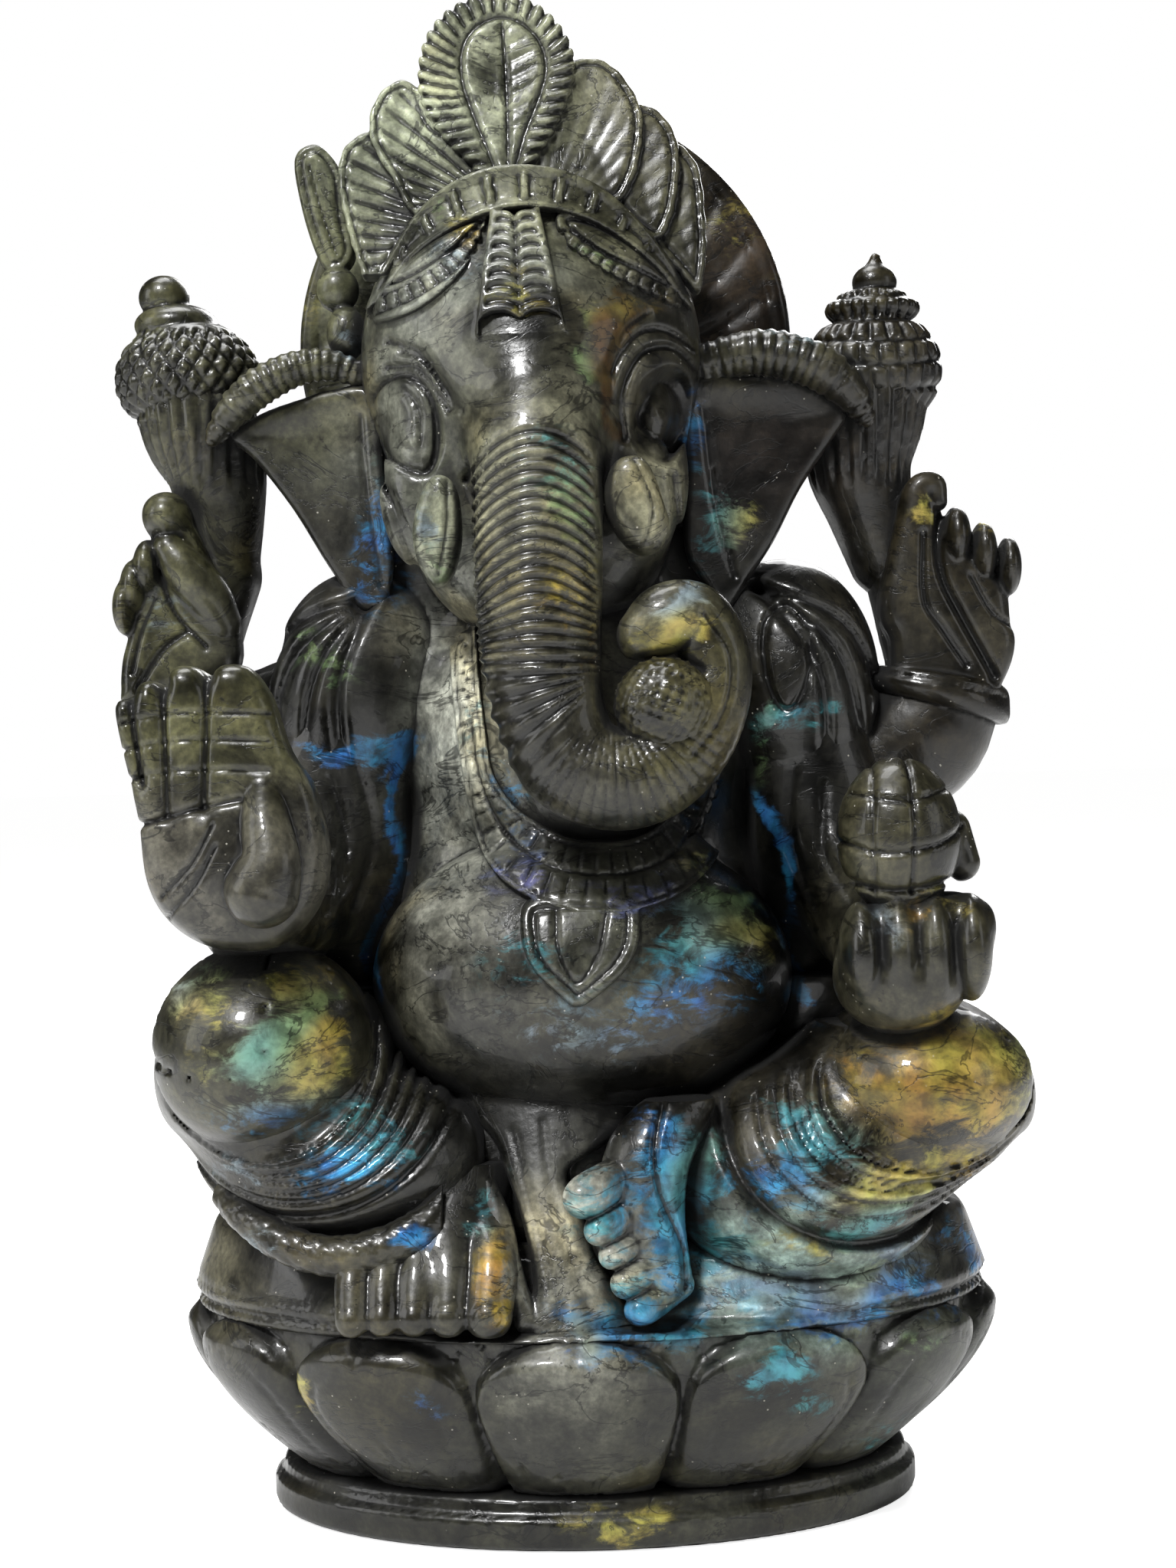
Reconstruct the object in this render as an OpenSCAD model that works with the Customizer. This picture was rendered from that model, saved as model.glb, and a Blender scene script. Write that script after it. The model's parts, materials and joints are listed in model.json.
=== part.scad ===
// Seated elephant-headed prayer figure, carved in stone on a lotus seat with an oval plinth.
// The carving is one stone. Each node is one carved region of it, a closed solid that meets
// its neighbours face to face. Right and left are the figure's own right and left.
// The figure looks along -Y, +Z is up, and the origin is the centre of the plinth's underside.

/* [Plinth] */
// Length of the plinth, side to side
plinth_len = 129; // [125:1:135]
// Depth of the plinth, front to back
plinth_dep = 86; // [82:1:92]
// Height of the plinth
plinth_h = 10; // [9:0.5:12]
// Depth of the groove around the plinth
groove_in = 1.6; // [1:0.2:2.4]

/* [Lotus seat] */
// Length of the seat at its widest, without the petals
seat_len = 156; // [150:1:160]
// Depth of the seat at its widest, without the petals
seat_dep = 102; // [96:1:106]
// Height of the seat above the plinth
lotus_h = 31; // [29:1:33]
// Height of the ground on the seat, under the figure
ground_h = 12; // [11:1:13]
// Number of petals around the seat
petal_count = 12; // [11:1:13]

/* [Figure] */
// Width of the belly
belly_w = 83; // [80:1:86]
// Height of the belly
belly_tall = 54; // [50:1:57]
// Width of the head
head_w = 68; // [65:1:70]
// Radius of the disc behind the head
halo_r = 52; // [49:1:54]
// Thickness of the disc behind the head
halo_t = 8; // [6:1:10]
// Sideways lean of the head and the crown, towards the figure's right
lean = 7; // [5:1:8]
// Radius of each bud held up in the rear hands
bud_r = 14; // [12.5:0.5:15]
// Width of the central leaf of the crown
crown_leaf_w = 29; // [27:1:31]

/* [Hidden] */

// Heights that the rest of the figure follows
seat_z = plinth_h + lotus_h;
floor_z = seat_z + ground_h;
belly_z = floor_z + 51;
chest_z = floor_z + 98;
head_z = floor_z + 172;
crown_z = floor_z + 208;
head_x = -lean;

smooth = 16;
coarse = 12;
oval_points = 72;
petal_fill = 0.68;
right = -1;
left = 1;

// ---------- building blocks ----------

// An egg at p with radii r
module egg(p, r, fn = smooth) {
    hull() translate(p) scale(r) sphere(r = 1, $fn = fn);
}

// A tapering limb through balls: each entry is [point, radius]
module limb(balls, fn = coarse) {
    for (i = [0 : len(balls) - 2])
        hull() {
            translate(balls[i][0]) sphere(r = balls[i][1], $fn = fn);
            translate(balls[i + 1][0]) sphere(r = balls[i + 1][1], $fn = fn);
        }
}

// One convex plate or lump wrapped around balls
module wrap(balls, fn = coarse) {
    hull() for (b = balls) translate(b[0]) sphere(r = b[1], $fn = fn);
}

function oval(length, depth) = [
    for (i = [0 : oval_points - 1])
        let (a = i * 360 / oval_points) [length / 2 * cos(a), depth / 2 * sin(a)]
];

module oval_slab(length, depth, z, h) {
    translate([0, 0, z]) linear_extrude(height = h) polygon(oval(length, depth));
}

// ---------- shapes before they are cut against each other ----------

module plinth_shape() {
    foot_h = 0.42 * plinth_h;
    groove_h = 0.12 * plinth_h;
    oval_slab(plinth_len, plinth_dep, 0, foot_h);
    oval_slab(plinth_len - 2 * groove_in, plinth_dep - 2 * groove_in, foot_h, groove_h);
    oval_slab(plinth_len, plinth_dep, foot_h + groove_h, plinth_h - foot_h - groove_h);
}

module lotus_seat_shape() {
    hull() {
        oval_slab(plinth_len - 5, plinth_dep - 4, plinth_h, 1);
        oval_slab(seat_len - 4, seat_dep - 4, plinth_h + 0.6 * lotus_h, 1);
        oval_slab(seat_len, seat_dep, seat_z - 5, 5);
    }
}

module petal(angle) {
    rim = [seat_len / 2 * cos(angle), seat_dep / 2 * sin(angle)];
    foot = [(plinth_len / 2 - 4) * cos(angle), (plinth_dep / 2 - 4) * sin(angle)];
    across = [-rim[1] * seat_len / seat_dep, rim[0] * seat_dep / seat_len];
    side = across * PI / petal_count * petal_fill;
    tip_z = seat_z - 3;
    mid_z = plinth_h + 0.55 * lotus_h;
    hull() {
        translate([rim[0], rim[1], tip_z]) sphere(r = 3, $fn = coarse);
        translate([rim[0] + side[0], rim[1] + side[1], mid_z]) sphere(r = 4, $fn = coarse);
        translate([rim[0] - side[0], rim[1] - side[1], mid_z]) sphere(r = 4, $fn = coarse);
        translate([foot[0], foot[1], plinth_h + 5]) sphere(r = 4.5, $fn = coarse);
    }
}

module all_petals_shape() {
    for (i = [0 : petal_count - 1]) petal(-90 + i * 360 / petal_count);
}

module seat_ground_shape() {
    hull() {
        oval_slab(seat_len - 2, seat_dep - 2, seat_z, 4);
        oval_slab(seat_len - 14, seat_dep - 14, floor_z - 1, 1);
    }
}

module belly_shape() {
    egg([0, -10, belly_z], [belly_w / 2, 33, belly_tall / 2]);
}

module lap_shape() {
    egg([0, -2, floor_z + 20], [52, 36, 24]);
}

module torso_shape() {
    egg([0, 10, belly_z + 4], [42, 27, 40]);
    egg([0, 8, chest_z + 2], [36, 27, 32]);
    wrap([[[-38, 12, chest_z + 14], 15], [[38, 12, chest_z + 14], 15]], smooth);
}

module head_shape() {
    egg([head_x, -4, head_z + 3], [head_w / 2, 31, 36]);
    egg([head_x + 1, -5, head_z - 28], [27, 26, 28]);
}

module trunk_shape() {
    limb([
        [[head_x + 1, -24, head_z - 2], 15],
        [[head_x + 2, -35, head_z - 18], 12],
        [[head_x + 2, -41, head_z - 34], 10.5],
        [[head_x + 2.5, -44, head_z - 60], 9.5],
        [[head_x + 6, -46, head_z - 76], 9],
        [[head_x + 14, -47, head_z - 84], 8.5],
        [[head_x + 24, -46, head_z - 83], 8],
        [[head_x + 32, -45, head_z - 75], 7],
        [[head_x + 34, -44, head_z - 62], 6.2],
        [[head_x + 30, -44, head_z - 53], 6],
        [[head_x + 23, -45, head_z - 55], 4.5],
    ]);
}

module trunk_sweet_shape() {
    egg([head_x + 23.5, -49, head_z - 69], [7.5, 7, 8.5], coarse);
}

module tusk_shape(side) {
    x = side == right ? head_x - 17.5 : head_x + 19;
    limb([
        [[x, -27, head_z - 20], 4.5],
        [[x, -35, head_z - 28], 5],
        [[x + 1, -40, head_z - 40], 4],
    ]);
}

module ear_flap_shape(side) {
    out = side == right ? head_x - 59 : head_x + 61;
    mid = side == right ? head_x - 31 : head_x + 30;
    tip = side == right ? head_x - 30 : head_x + 41;
    wrap([
        [[out, 0, head_z - 11], 2.5],
        [[(out + mid) / 2, 1, head_z + 2], 3],
        [[mid, 1, head_z + 1], 3],
        [[tip, -8, head_z - 44], 3],
    ]);
}

module ear_rim_shape(side) {
    out = side == right ? head_x - 62 : head_x + 63;
    near = side == right ? head_x - 36 : head_x + 35;
    limb([
        [[out, -4, head_z - 10], 3],
        [[out - side * 6, -5, head_z - 1], 4.2],
        [[(out + near) / 2 - side * 2, -5, head_z + 4], 4.5],
        [[near, -5, head_z + 2], 4],
    ]);
}

module eye_shape(side) {
    x = side == right ? head_x - 23.5 : head_x + 24.5;
    egg([x, -25, head_z - 9], [6, 5, 9], coarse);
}

module tilak_shape() {
    for (side = [right, left])
        wrap([
            [[head_x - 2 + side * 2.2, -34, head_z + 26], 2.4],
            [[head_x - 1.5 + side * 4.4, -38, head_z + 4], 4.2],
        ]);
}

module brow_drape_shape(side) {
    x = side == right ? head_x - 19 : head_x + 17;
    egg([x, -27, head_z + 17], [9, 6, 6], coarse);
    egg([x + side * 7, -21, head_z + 9], [6, 6, 9], coarse);
}

module crown_band_shape() {
    limb([
        [[head_x - 33, -8, head_z + 18], 3.4],
        [[head_x - 26, -21, head_z + 27], 3.6],
        [[head_x - 14, -29, head_z + 33], 3.8],
        [[head_x - 2, -31, head_z + 35.5], 4],
        [[head_x + 10, -29, head_z + 33.5], 3.8],
        [[head_x + 23, -22, head_z + 27], 3.6],
        [[head_x + 31, -8, head_z + 17], 3.4],
    ]);
}

module crown_cap_shape() {
    egg([head_x - 1, 4, crown_z - 2], [31, 22, 24]);
}

module crown_leaf(x, lean_x, base_z, tall, width) {
    wrap([
        [[x, -20, base_z], 4],
        [[x - width / 2 + 3 + lean_x * 0.6, -15, base_z + tall * 0.55], 3.2],
        [[x + width / 2 - 3 + lean_x * 0.6, -15, base_z + tall * 0.55], 3.2],
        [[x + lean_x, -10, base_z + tall - 3], 3],
    ]);
}

module crown_leaf_centre_shape() {
    crown_leaf(head_x - 2, -2, crown_z + 4, 34, crown_leaf_w);
}

module crown_leaves_shape(side) {
    crown_leaf(head_x - 2 + side * 11, side * 13, crown_z + 2, side == right ? 16 : 19, 19);
    crown_leaf(head_x - 1 + side * 20, side * 15, crown_z - 6, 13, 17);
}

module halo_shape() {
    translate([head_x + 2.5, 22 + halo_t, head_z + 12])
        rotate([90, 0, 0]) cylinder(r = halo_r, h = halo_t, $fn = 96);
}

module side_ornament_shape() {
    limb([[[head_x - 43.5, 3, head_z + 45], 4], [[head_x - 38, 3, head_z + 26], 5]]);
    egg([head_x - 37.5, 1, head_z + 18], [5.5, 6, 6], coarse);
    egg([head_x - 36, 1, head_z + 8], [5, 6, 6], coarse);
}

module sleeve_shape(side) {
    egg([side * 46, 5, chest_z + 11], [16, 17, 23]);
}

module front_arm_shape(side) {
    limb([
        [[side * 47, 2, chest_z], 13],
        [[side * 53, -2, chest_z - 26], 12],
        [[side * 60, -24, chest_z - 34], 11],
    ]);
}

module front_hand_shape(side) {
    if (side == right) {
        wrap([
            [[-60, -38, chest_z - 30], 8],
            [[-76, -42, chest_z - 12], 7],
            [[-56, -42, chest_z - 14], 7],
            [[-64, -44, chest_z + 10], 5],
            [[-76, -44, chest_z + 6], 5],
        ], smooth);
        limb([[[-55, -46, chest_z - 14], 6], [[-59, -50, chest_z - 28], 5.5]]);
    } else {
        wrap([
            [[54, -36, chest_z - 34], 8],
            [[70, -34, chest_z - 34], 8],
            [[56, -36, chest_z - 46], 8],
            [[66, -36, chest_z - 46], 8],
        ], smooth);
        limb([[[73, -34, chest_z - 38], 5.5], [[74, -36, chest_z - 24], 4]]);
    }
}

module hand_sweet_shape() {
    egg([60, -40, chest_z - 19], [10.5, 10, 14]);
}

module rear_arm_shape(side) {
    if (side == right) {
        limb([
            [[-52, 12, chest_z + 8], 11],
            [[-72, 11, chest_z + 6], 11],
            [[-75, 10, chest_z + 20], 9],
            [[-70, 10, chest_z + 42], 8.5],
        ]);
    } else {
        limb([
            [[52, 12, chest_z - 2], 11],
            [[71, 9, chest_z - 1], 13],
            [[75, 8, chest_z + 10], 11],
            [[65, 9, chest_z + 30], 8.5],
            [[60, 10, chest_z + 44], 8],
        ]);
    }
}

module rear_hand_shape(side) {
    if (side == right)
        wrap([
            [[-82, 4, chest_z + 46], 3.5],
            [[-88, 4, chest_z + 30], 3.5],
            [[-78, 5, chest_z + 40], 4],
            [[-84, 6, chest_z + 14], 4.5],
            [[-78, 6, chest_z + 12], 5],
        ]);
    else
        wrap([
            [[74, 2, chest_z + 48], 3.5],
            [[85, 2, chest_z + 38], 4],
            [[86, 2, chest_z + 30], 4],
            [[80, 3, chest_z + 14], 4.5],
            [[73, 4, chest_z + 18], 5],
        ]);
}

module bracelet_shape() {
    egg([74, 8, chest_z + 7.5], [15.5, 14.5, 5]);
}

module bud_shape(side) {
    x = side == right ? -78 : 63;
    egg([x, 10, head_z + 4], [bud_r + 0.5, bud_r - 1, bud_r - 1]);
}

module bud_finial_shape(side) {
    if (side == right)
        egg([-83, 10, head_z + 18.5], [4.8, 4.5, 4.5], coarse);
    else
        wrap([[[63.5, 10, head_z + 17.5], 4.5], [[63.5, 10, head_z + 24], 1]]);
}

module bud_stem_shape(side) {
    if (side == right)
        limb([[[-75, 10, head_z - 8], 10], [[-70, 10, head_z - 25], 8]]);
    else
        limb([[[63, 10, head_z - 9], 9.5], [[61, 10, head_z - 27], 8]]);
}

module knee_shape(side) {
    if (side == right)
        egg([-61, -22, floor_z + 40], [22, 25, 21]);
    else
        egg([64, -17, floor_z + 27], [26, 28, 20]);
}

module leg_shape(side) {
    if (side == right)
        limb([
            [[-56, -20, floor_z + 26], 19],
            [[-53, -26, floor_z + 12], 18],
        ], smooth);
    else
        limb([
            [[66, -18, floor_z + 12], 19],
            [[44, -28, floor_z + 8], 17],
            [[22, -34, floor_z + 10], 14],
        ], smooth);
}

module hem_band_shape() {
    limb([
        [[-69, -30, floor_z + 8], 3.5],
        [[-56, -42, floor_z + 6], 3.5],
        [[-40, -44, floor_z + 4], 3.5],
    ]);
}

module foot_shape(side) {
    if (side == right)
        wrap([
            [[-44, -38, floor_z + 3], 6],
            [[-24, -36, floor_z + 3], 6],
            [[-46, -50, floor_z - 8], 3.5],
            [[-17, -49, floor_z - 8], 3.5],
        ], smooth);
    else
        wrap([
            [[14, -40, floor_z + 14], 8],
            [[0, -45, floor_z + 14], 4],
            [[9, -46, floor_z - 4], 4],
            [[18, -42, floor_z - 2], 6],
        ], smooth);
}

module sash_shape() {
    wrap([[[-16, -32, floor_z + 32], 5], [[-3, -36, floor_z + 30], 5], [[-9, -42, floor_z + 4], 6]]);
    wrap([[[-12, -42, floor_z + 4], 6], [[-4, -46, floor_z + 2], 6], [[-2, -50, floor_z - 13], 4]]);
}

module necklace_shape() {
    limb([
        [[-23, -20, chest_z + 24], 3],
        [[-25, -27, chest_z + 8], 3.5],
        [[-21, -34, chest_z - 14], 4],
        [[-14, -38, chest_z - 24], 4],
        [[0, -40.5, chest_z - 28], 4],
        [[14, -38, chest_z - 26], 4],
        [[22, -34, chest_z - 18], 3.5],
        [[26, -28, chest_z - 6], 3],
    ]);
}

module pendant_shape() {
    wrap([
        [[-8, -41, chest_z - 34], 2],
        [[8, -41, chest_z - 34], 2],
        [[-5, -42, chest_z - 44], 2],
        [[5, -42, chest_z - 44], 2],
        [[0, -41, chest_z - 50], 2],
    ]);
}

// ---------- nodes ----------

stone_dark = [0.20, 0.22, 0.21];
stone_grey = [0.36, 0.38, 0.35];
stone_pale = [0.50, 0.53, 0.46];
stone_olive = [0.34, 0.35, 0.24];
stone_teal = [0.13, 0.36, 0.42];
stone_gold = [0.50, 0.38, 0.20];

module plinth() color(stone_dark) plinth_shape();

module lotus_seat() color(stone_grey) lotus_seat_shape();

module lotus_petals() color(stone_grey) difference() {
    all_petals_shape();
    lotus_seat_shape();
}

module seat_ground() color(stone_dark) seat_ground_shape();

module belly() color(stone_dark) belly_shape();

module head() color(stone_grey) head_shape();

module torso() color(stone_dark) difference() {
    torso_shape();
    belly_shape();
    head_shape();
    seat_ground_shape();
}

module lap() color(stone_dark) difference() {
    lap_shape();
    belly_shape();
    torso_shape();
    seat_ground_shape();
}

module knee(side) difference() {
    knee_shape(side);
    belly_shape();
    lap_shape();
    torso_shape();
    seat_ground_shape();
}
module knee_right() color(stone_olive) knee(right);
module knee_left() color(stone_gold) knee(left);

module leg(side) difference() {
    leg_shape(side);
    knee_shape(side);
    belly_shape();
    lap_shape();
    torso_shape();
    seat_ground_shape();
    lotus_seat_shape();
}
module leg_right() color(stone_dark) leg(right);
module leg_left() color(stone_teal) leg(left);

module hem_band() color(stone_grey) difference() {
    hem_band_shape();
    leg_shape(right);
    seat_ground_shape();
}

module foot(side) difference() {
    foot_shape(side);
    leg_shape(side);
    hem_band_shape();
    lap_shape();
    seat_ground_shape();
    lotus_seat_shape();
    all_petals_shape();
}
module foot_right() color(stone_grey) foot(right);
module foot_left() color(stone_teal) foot(left);

module central_sash() color(stone_grey) difference() {
    sash_shape();
    lap_shape();
    belly_shape();
    leg_shape(left);
    foot_shape(left);
    foot_shape(right);
    seat_ground_shape();
    lotus_seat_shape();
    all_petals_shape();
}

module sleeve(side) difference() {
    sleeve_shape(side);
    torso_shape();
    head_shape();
}
module sleeve_right() color(stone_dark) sleeve(right);
module sleeve_left() color(stone_dark) sleeve(left);

module front_arm(side) difference() {
    front_arm_shape(side);
    sleeve_shape(side);
    torso_shape();
    belly_shape();
    knee_shape(side);
    lap_shape();
}
module front_arm_right() color(stone_dark) front_arm(right);
module front_arm_left() color(stone_dark) front_arm(left);

module front_hand(side) difference() {
    front_hand_shape(side);
    front_arm_shape(side);
    knee_shape(side);
}
module front_hand_right() color(stone_olive) front_hand(right);
module front_hand_left() color(stone_olive) front_hand(left);

module hand_sweet() color(stone_olive) difference() {
    hand_sweet_shape();
    front_hand_shape(left);
    front_arm_shape(left);
}

module rear_arm(side) difference() {
    rear_arm_shape(side);
    sleeve_shape(side);
    torso_shape();
    front_arm_shape(side);
    front_hand_shape(side);
    bud_stem_shape(side);
}
module rear_arm_right() color(stone_dark) rear_arm(right);
module rear_arm_left() color(stone_dark) rear_arm(left);

module rear_hand(side) difference() {
    rear_hand_shape(side);
    rear_arm_shape(side);
    bud_stem_shape(side);
    bracelet_shape();
}
module rear_hand_right() color(stone_olive) rear_hand(right);
module rear_hand_left() color(stone_olive) rear_hand(left);

module bracelet_left() color(stone_olive) difference() {
    bracelet_shape();
    rear_arm_shape(left);
}

module bud(side) difference() {
    bud_shape(side);
    ear_flap_shape(side);
    ear_rim_shape(side);
}
module bud_right() color(stone_grey) bud(right);
module bud_left() color(stone_dark) bud(left);

module bud_finial(side) difference() {
    bud_finial_shape(side);
    bud_shape(side);
}
module bud_finial_right() color(stone_olive) bud_finial(right);
module bud_finial_left() color(stone_pale) bud_finial(left);

module bud_stem(side) difference() {
    bud_stem_shape(side);
    bud_shape(side);
    ear_flap_shape(side);
    ear_rim_shape(side);
}
module bud_stem_right() color(stone_dark) bud_stem(right);
module bud_stem_left() color(stone_dark) bud_stem(left);

module trunk() color(stone_grey) difference() {
    trunk_shape();
    head_shape();
    belly_shape();
    torso_shape();
}

module trunk_sweet() color(stone_olive) difference() {
    trunk_sweet_shape();
    trunk_shape();
}

module tusk(side) difference() {
    tusk_shape(side);
    head_shape();
    trunk_shape();
}
module tusk_right() color(stone_pale) tusk(right);
module tusk_left() color(stone_pale) tusk(left);

module ear_flap(side) difference() {
    ear_flap_shape(side);
    head_shape();
    torso_shape();
    sleeve_shape(side);
}
module ear_flap_right() color(stone_dark) ear_flap(right);
module ear_flap_left() color(stone_dark) ear_flap(left);

module ear_rim(side) difference() {
    ear_rim_shape(side);
    ear_flap_shape(side);
    head_shape();
}
module ear_rim_right() color(stone_olive) ear_rim(right);
module ear_rim_left() color(stone_olive) ear_rim(left);

module eye(side) difference() {
    eye_shape(side);
    head_shape();
}
module eye_right() color(stone_grey) eye(right);
module eye_left() color(stone_grey) eye(left);

module tilak() color(stone_pale) difference() {
    tilak_shape();
    head_shape();
    crown_band_shape();
    trunk_shape();
}

module brow_drape(side) difference() {
    brow_drape_shape(side);
    head_shape();
    tilak_shape();
    crown_band_shape();
    eye_shape(side);
}
module brow_drape_right() color(stone_grey) brow_drape(right);
module brow_drape_left() color(stone_grey) brow_drape(left);

module crown_band() color(stone_pale) difference() {
    crown_band_shape();
    head_shape();
    crown_cap_shape();
}

module crown_cap() color(stone_pale) difference() {
    crown_cap_shape();
    head_shape();
}

module crown_leaf_centre() color(stone_pale) difference() {
    crown_leaf_centre_shape();
    crown_cap_shape();
    crown_band_shape();
    head_shape();
}

module crown_leaves(side) difference() {
    crown_leaves_shape(side);
    crown_leaf_centre_shape();
    crown_cap_shape();
    crown_band_shape();
    head_shape();
}
module crown_leaves_right() color(stone_pale) crown_leaves(right);
module crown_leaves_left() color(stone_pale) crown_leaves(left);

module halo_disc() color(stone_gold) difference() {
    halo_shape();
    head_shape();
    crown_cap_shape();
    torso_shape();
}

module side_ornament() color(stone_pale) difference() {
    side_ornament_shape();
    head_shape();
    crown_cap_shape();
    crown_leaves_shape(right);
    crown_band_shape();
    ear_flap_shape(right);
    ear_rim_shape(right);
}

module necklace() color(stone_grey) difference() {
    necklace_shape();
    torso_shape();
    belly_shape();
    trunk_shape();
    head_shape();
}

module pendant() color(stone_dark) difference() {
    pendant_shape();
    belly_shape();
    necklace_shape();
}

plinth();
lotus_seat();
lotus_petals();
seat_ground();
lap();
central_sash();
torso();
belly();
necklace();
pendant();
head();
trunk();
trunk_sweet();
tusk_right();
tusk_left();
ear_flap_right();
ear_flap_left();
ear_rim_right();
ear_rim_left();
eye_right();
eye_left();
tilak();
brow_drape_right();
brow_drape_left();
crown_band();
crown_cap();
crown_leaf_centre();
crown_leaves_right();
crown_leaves_left();
halo_disc();
side_ornament();
sleeve_right();
sleeve_left();
front_arm_right();
front_arm_left();
front_hand_right();
front_hand_left();
hand_sweet();
rear_arm_right();
rear_arm_left();
rear_hand_right();
rear_hand_left();
bracelet_left();
bud_right();
bud_left();
bud_finial_right();
bud_finial_left();
bud_stem_right();
bud_stem_left();
knee_right();
knee_left();
leg_right();
leg_left();
hem_band();
foot_right();
foot_left();
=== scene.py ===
"""The visual model of a carved stone elephant-headed figure seated on a lotus base.

Each carved region is a closed sculpted mesh. It is grown from a distance function in millimetres, blended
into its neighbours where the stone runs on, and skinned with quads. Lengths below are in millimetres, and
each group of shapes is placed from the CAD model's own boxes.
"""

import json
import math
from concurrent.futures import ThreadPoolExecutor

import bpy
import numpy as np
from mathutils import Matrix, Vector

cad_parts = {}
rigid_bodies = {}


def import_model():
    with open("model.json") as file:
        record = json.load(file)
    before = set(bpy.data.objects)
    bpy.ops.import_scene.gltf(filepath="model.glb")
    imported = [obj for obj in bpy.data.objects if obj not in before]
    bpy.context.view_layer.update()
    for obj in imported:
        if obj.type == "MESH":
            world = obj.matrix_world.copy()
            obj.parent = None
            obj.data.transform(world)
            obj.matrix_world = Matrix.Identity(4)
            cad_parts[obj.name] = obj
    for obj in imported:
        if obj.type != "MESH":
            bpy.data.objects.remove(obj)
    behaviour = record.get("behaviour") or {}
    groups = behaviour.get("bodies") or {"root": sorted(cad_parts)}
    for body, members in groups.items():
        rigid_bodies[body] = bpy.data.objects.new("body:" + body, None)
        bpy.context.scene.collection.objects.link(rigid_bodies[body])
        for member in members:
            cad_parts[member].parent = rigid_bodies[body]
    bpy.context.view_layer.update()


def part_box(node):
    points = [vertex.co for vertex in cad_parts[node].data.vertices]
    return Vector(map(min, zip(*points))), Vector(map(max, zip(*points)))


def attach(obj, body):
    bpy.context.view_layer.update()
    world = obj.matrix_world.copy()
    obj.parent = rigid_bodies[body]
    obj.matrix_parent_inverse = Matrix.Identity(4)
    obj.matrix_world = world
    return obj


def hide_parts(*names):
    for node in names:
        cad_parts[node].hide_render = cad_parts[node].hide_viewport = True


for leftover in list(bpy.data.objects):
    bpy.data.objects.remove(leftover)
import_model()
MM = 0.001

# ---------------------------------------------------------------- places, from the CAD model


def box_mm(node):
    """A CAD node's lowest and highest corners, in millimetres."""
    low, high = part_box(node)
    return np.array(low) / MM, np.array(high) / MM


CHIN_TO_MIDDLE = 55.5  # from the head's lowest point up to the height that its shapes are measured from


def anchors():
    """Where each group of shapes is measured from: the underside, the ground it sits on, the head."""
    ground_top = box_mm("seat_ground")[1][2]
    head_low, head_high = box_mm("head")
    head_middle = (head_low[0] + head_high[0]) / 2
    return {
        "base": np.array([0.0, 0.0, box_mm("plinth")[0][2]]),
        "body": np.array([0.0, 0.0, ground_top]),
        "face": np.array([head_middle, 0.0, head_low[2] + CHIN_TO_MIDDLE]),
    }


# ---------------------------------------------------------------- distance functions


def oval(u, v, half_u, half_v):
    """Signed distance to an ellipse, close to exact near its edge."""
    far = np.hypot(u / half_u, v / half_v)
    slope = np.hypot(u / half_u**2, v / half_v**2)
    return far * (far - 1) / np.maximum(slope, 1e-6)


def egg(p, at, radius):
    """Signed distance to an ellipsoid, close to exact near its surface."""
    u, v, w = ((p[i] - at[i]) / radius[i] for i in range(3))
    far = np.sqrt(u * u + v * v + w * w)
    slope = np.sqrt((u / radius[0]) ** 2 + (v / radius[1]) ** 2 + (w / radius[2]) ** 2)
    return far * (far - 1) / np.maximum(slope, 1e-6)


def eggs(p, body, parts):
    """A shape with ellipsoids joined on, each with its middle, its radii and the fillet that joins it."""
    for at, radius, soft in parts:
        body = blend(body, egg(p, at, radius), soft)
    return body


def smooth_line(points, steps, closed=False):
    """The points joined by a curve that passes through them, with a few steps between each pair."""
    given = np.array(points, float)
    if closed:
        ring = np.concatenate([given[-1:], given, given[:2]])
    else:
        ring = np.concatenate([2 * given[:1] - given[1:2], given, 2 * given[-1:] - given[-2:-1]])
    share = np.arange(steps)[:, None] / steps
    made = []
    for a, b, c, d in zip(ring[:-3], ring[1:-2], ring[2:-1], ring[3:]):
        square, cube = a - 2.5 * b + 2 * c - d / 2, 1.5 * (b - c) + (d - a) / 2
        made.append(b + share * ((c - a) / 2 + share * (square + share * cube)))
    made.append(given[:1] if closed else given[-1:])
    return np.concatenate(made)


def limb(p, points, steps=5):
    """Signed distance to a round tube with a changing radius, and the length along it."""
    line = smooth_line(points, steps)
    best = np.full(p[0].shape, 1e6, np.float32)
    along = np.zeros(p[0].shape, np.float32)
    run = 0.0
    for a, b in zip(line[:-1], line[1:]):
        span = b[:3] - a[:3]
        length = math.sqrt(span @ span)
        if length < 1e-6:
            continue
        rel = [p[i] - a[i] for i in range(3)]
        t = np.clip((rel[0] * span[0] + rel[1] * span[1] + rel[2] * span[2]) / length**2, 0, 1)
        gap = np.sqrt(sum((rel[i] - t * span[i]) ** 2 for i in range(3))) - (a[3] + t * (b[3] - a[3]))
        closer = gap < best
        best = np.where(closer, gap, best)
        along = np.where(closer, run + t * length, along)
        run += length
    return best, along


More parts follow.
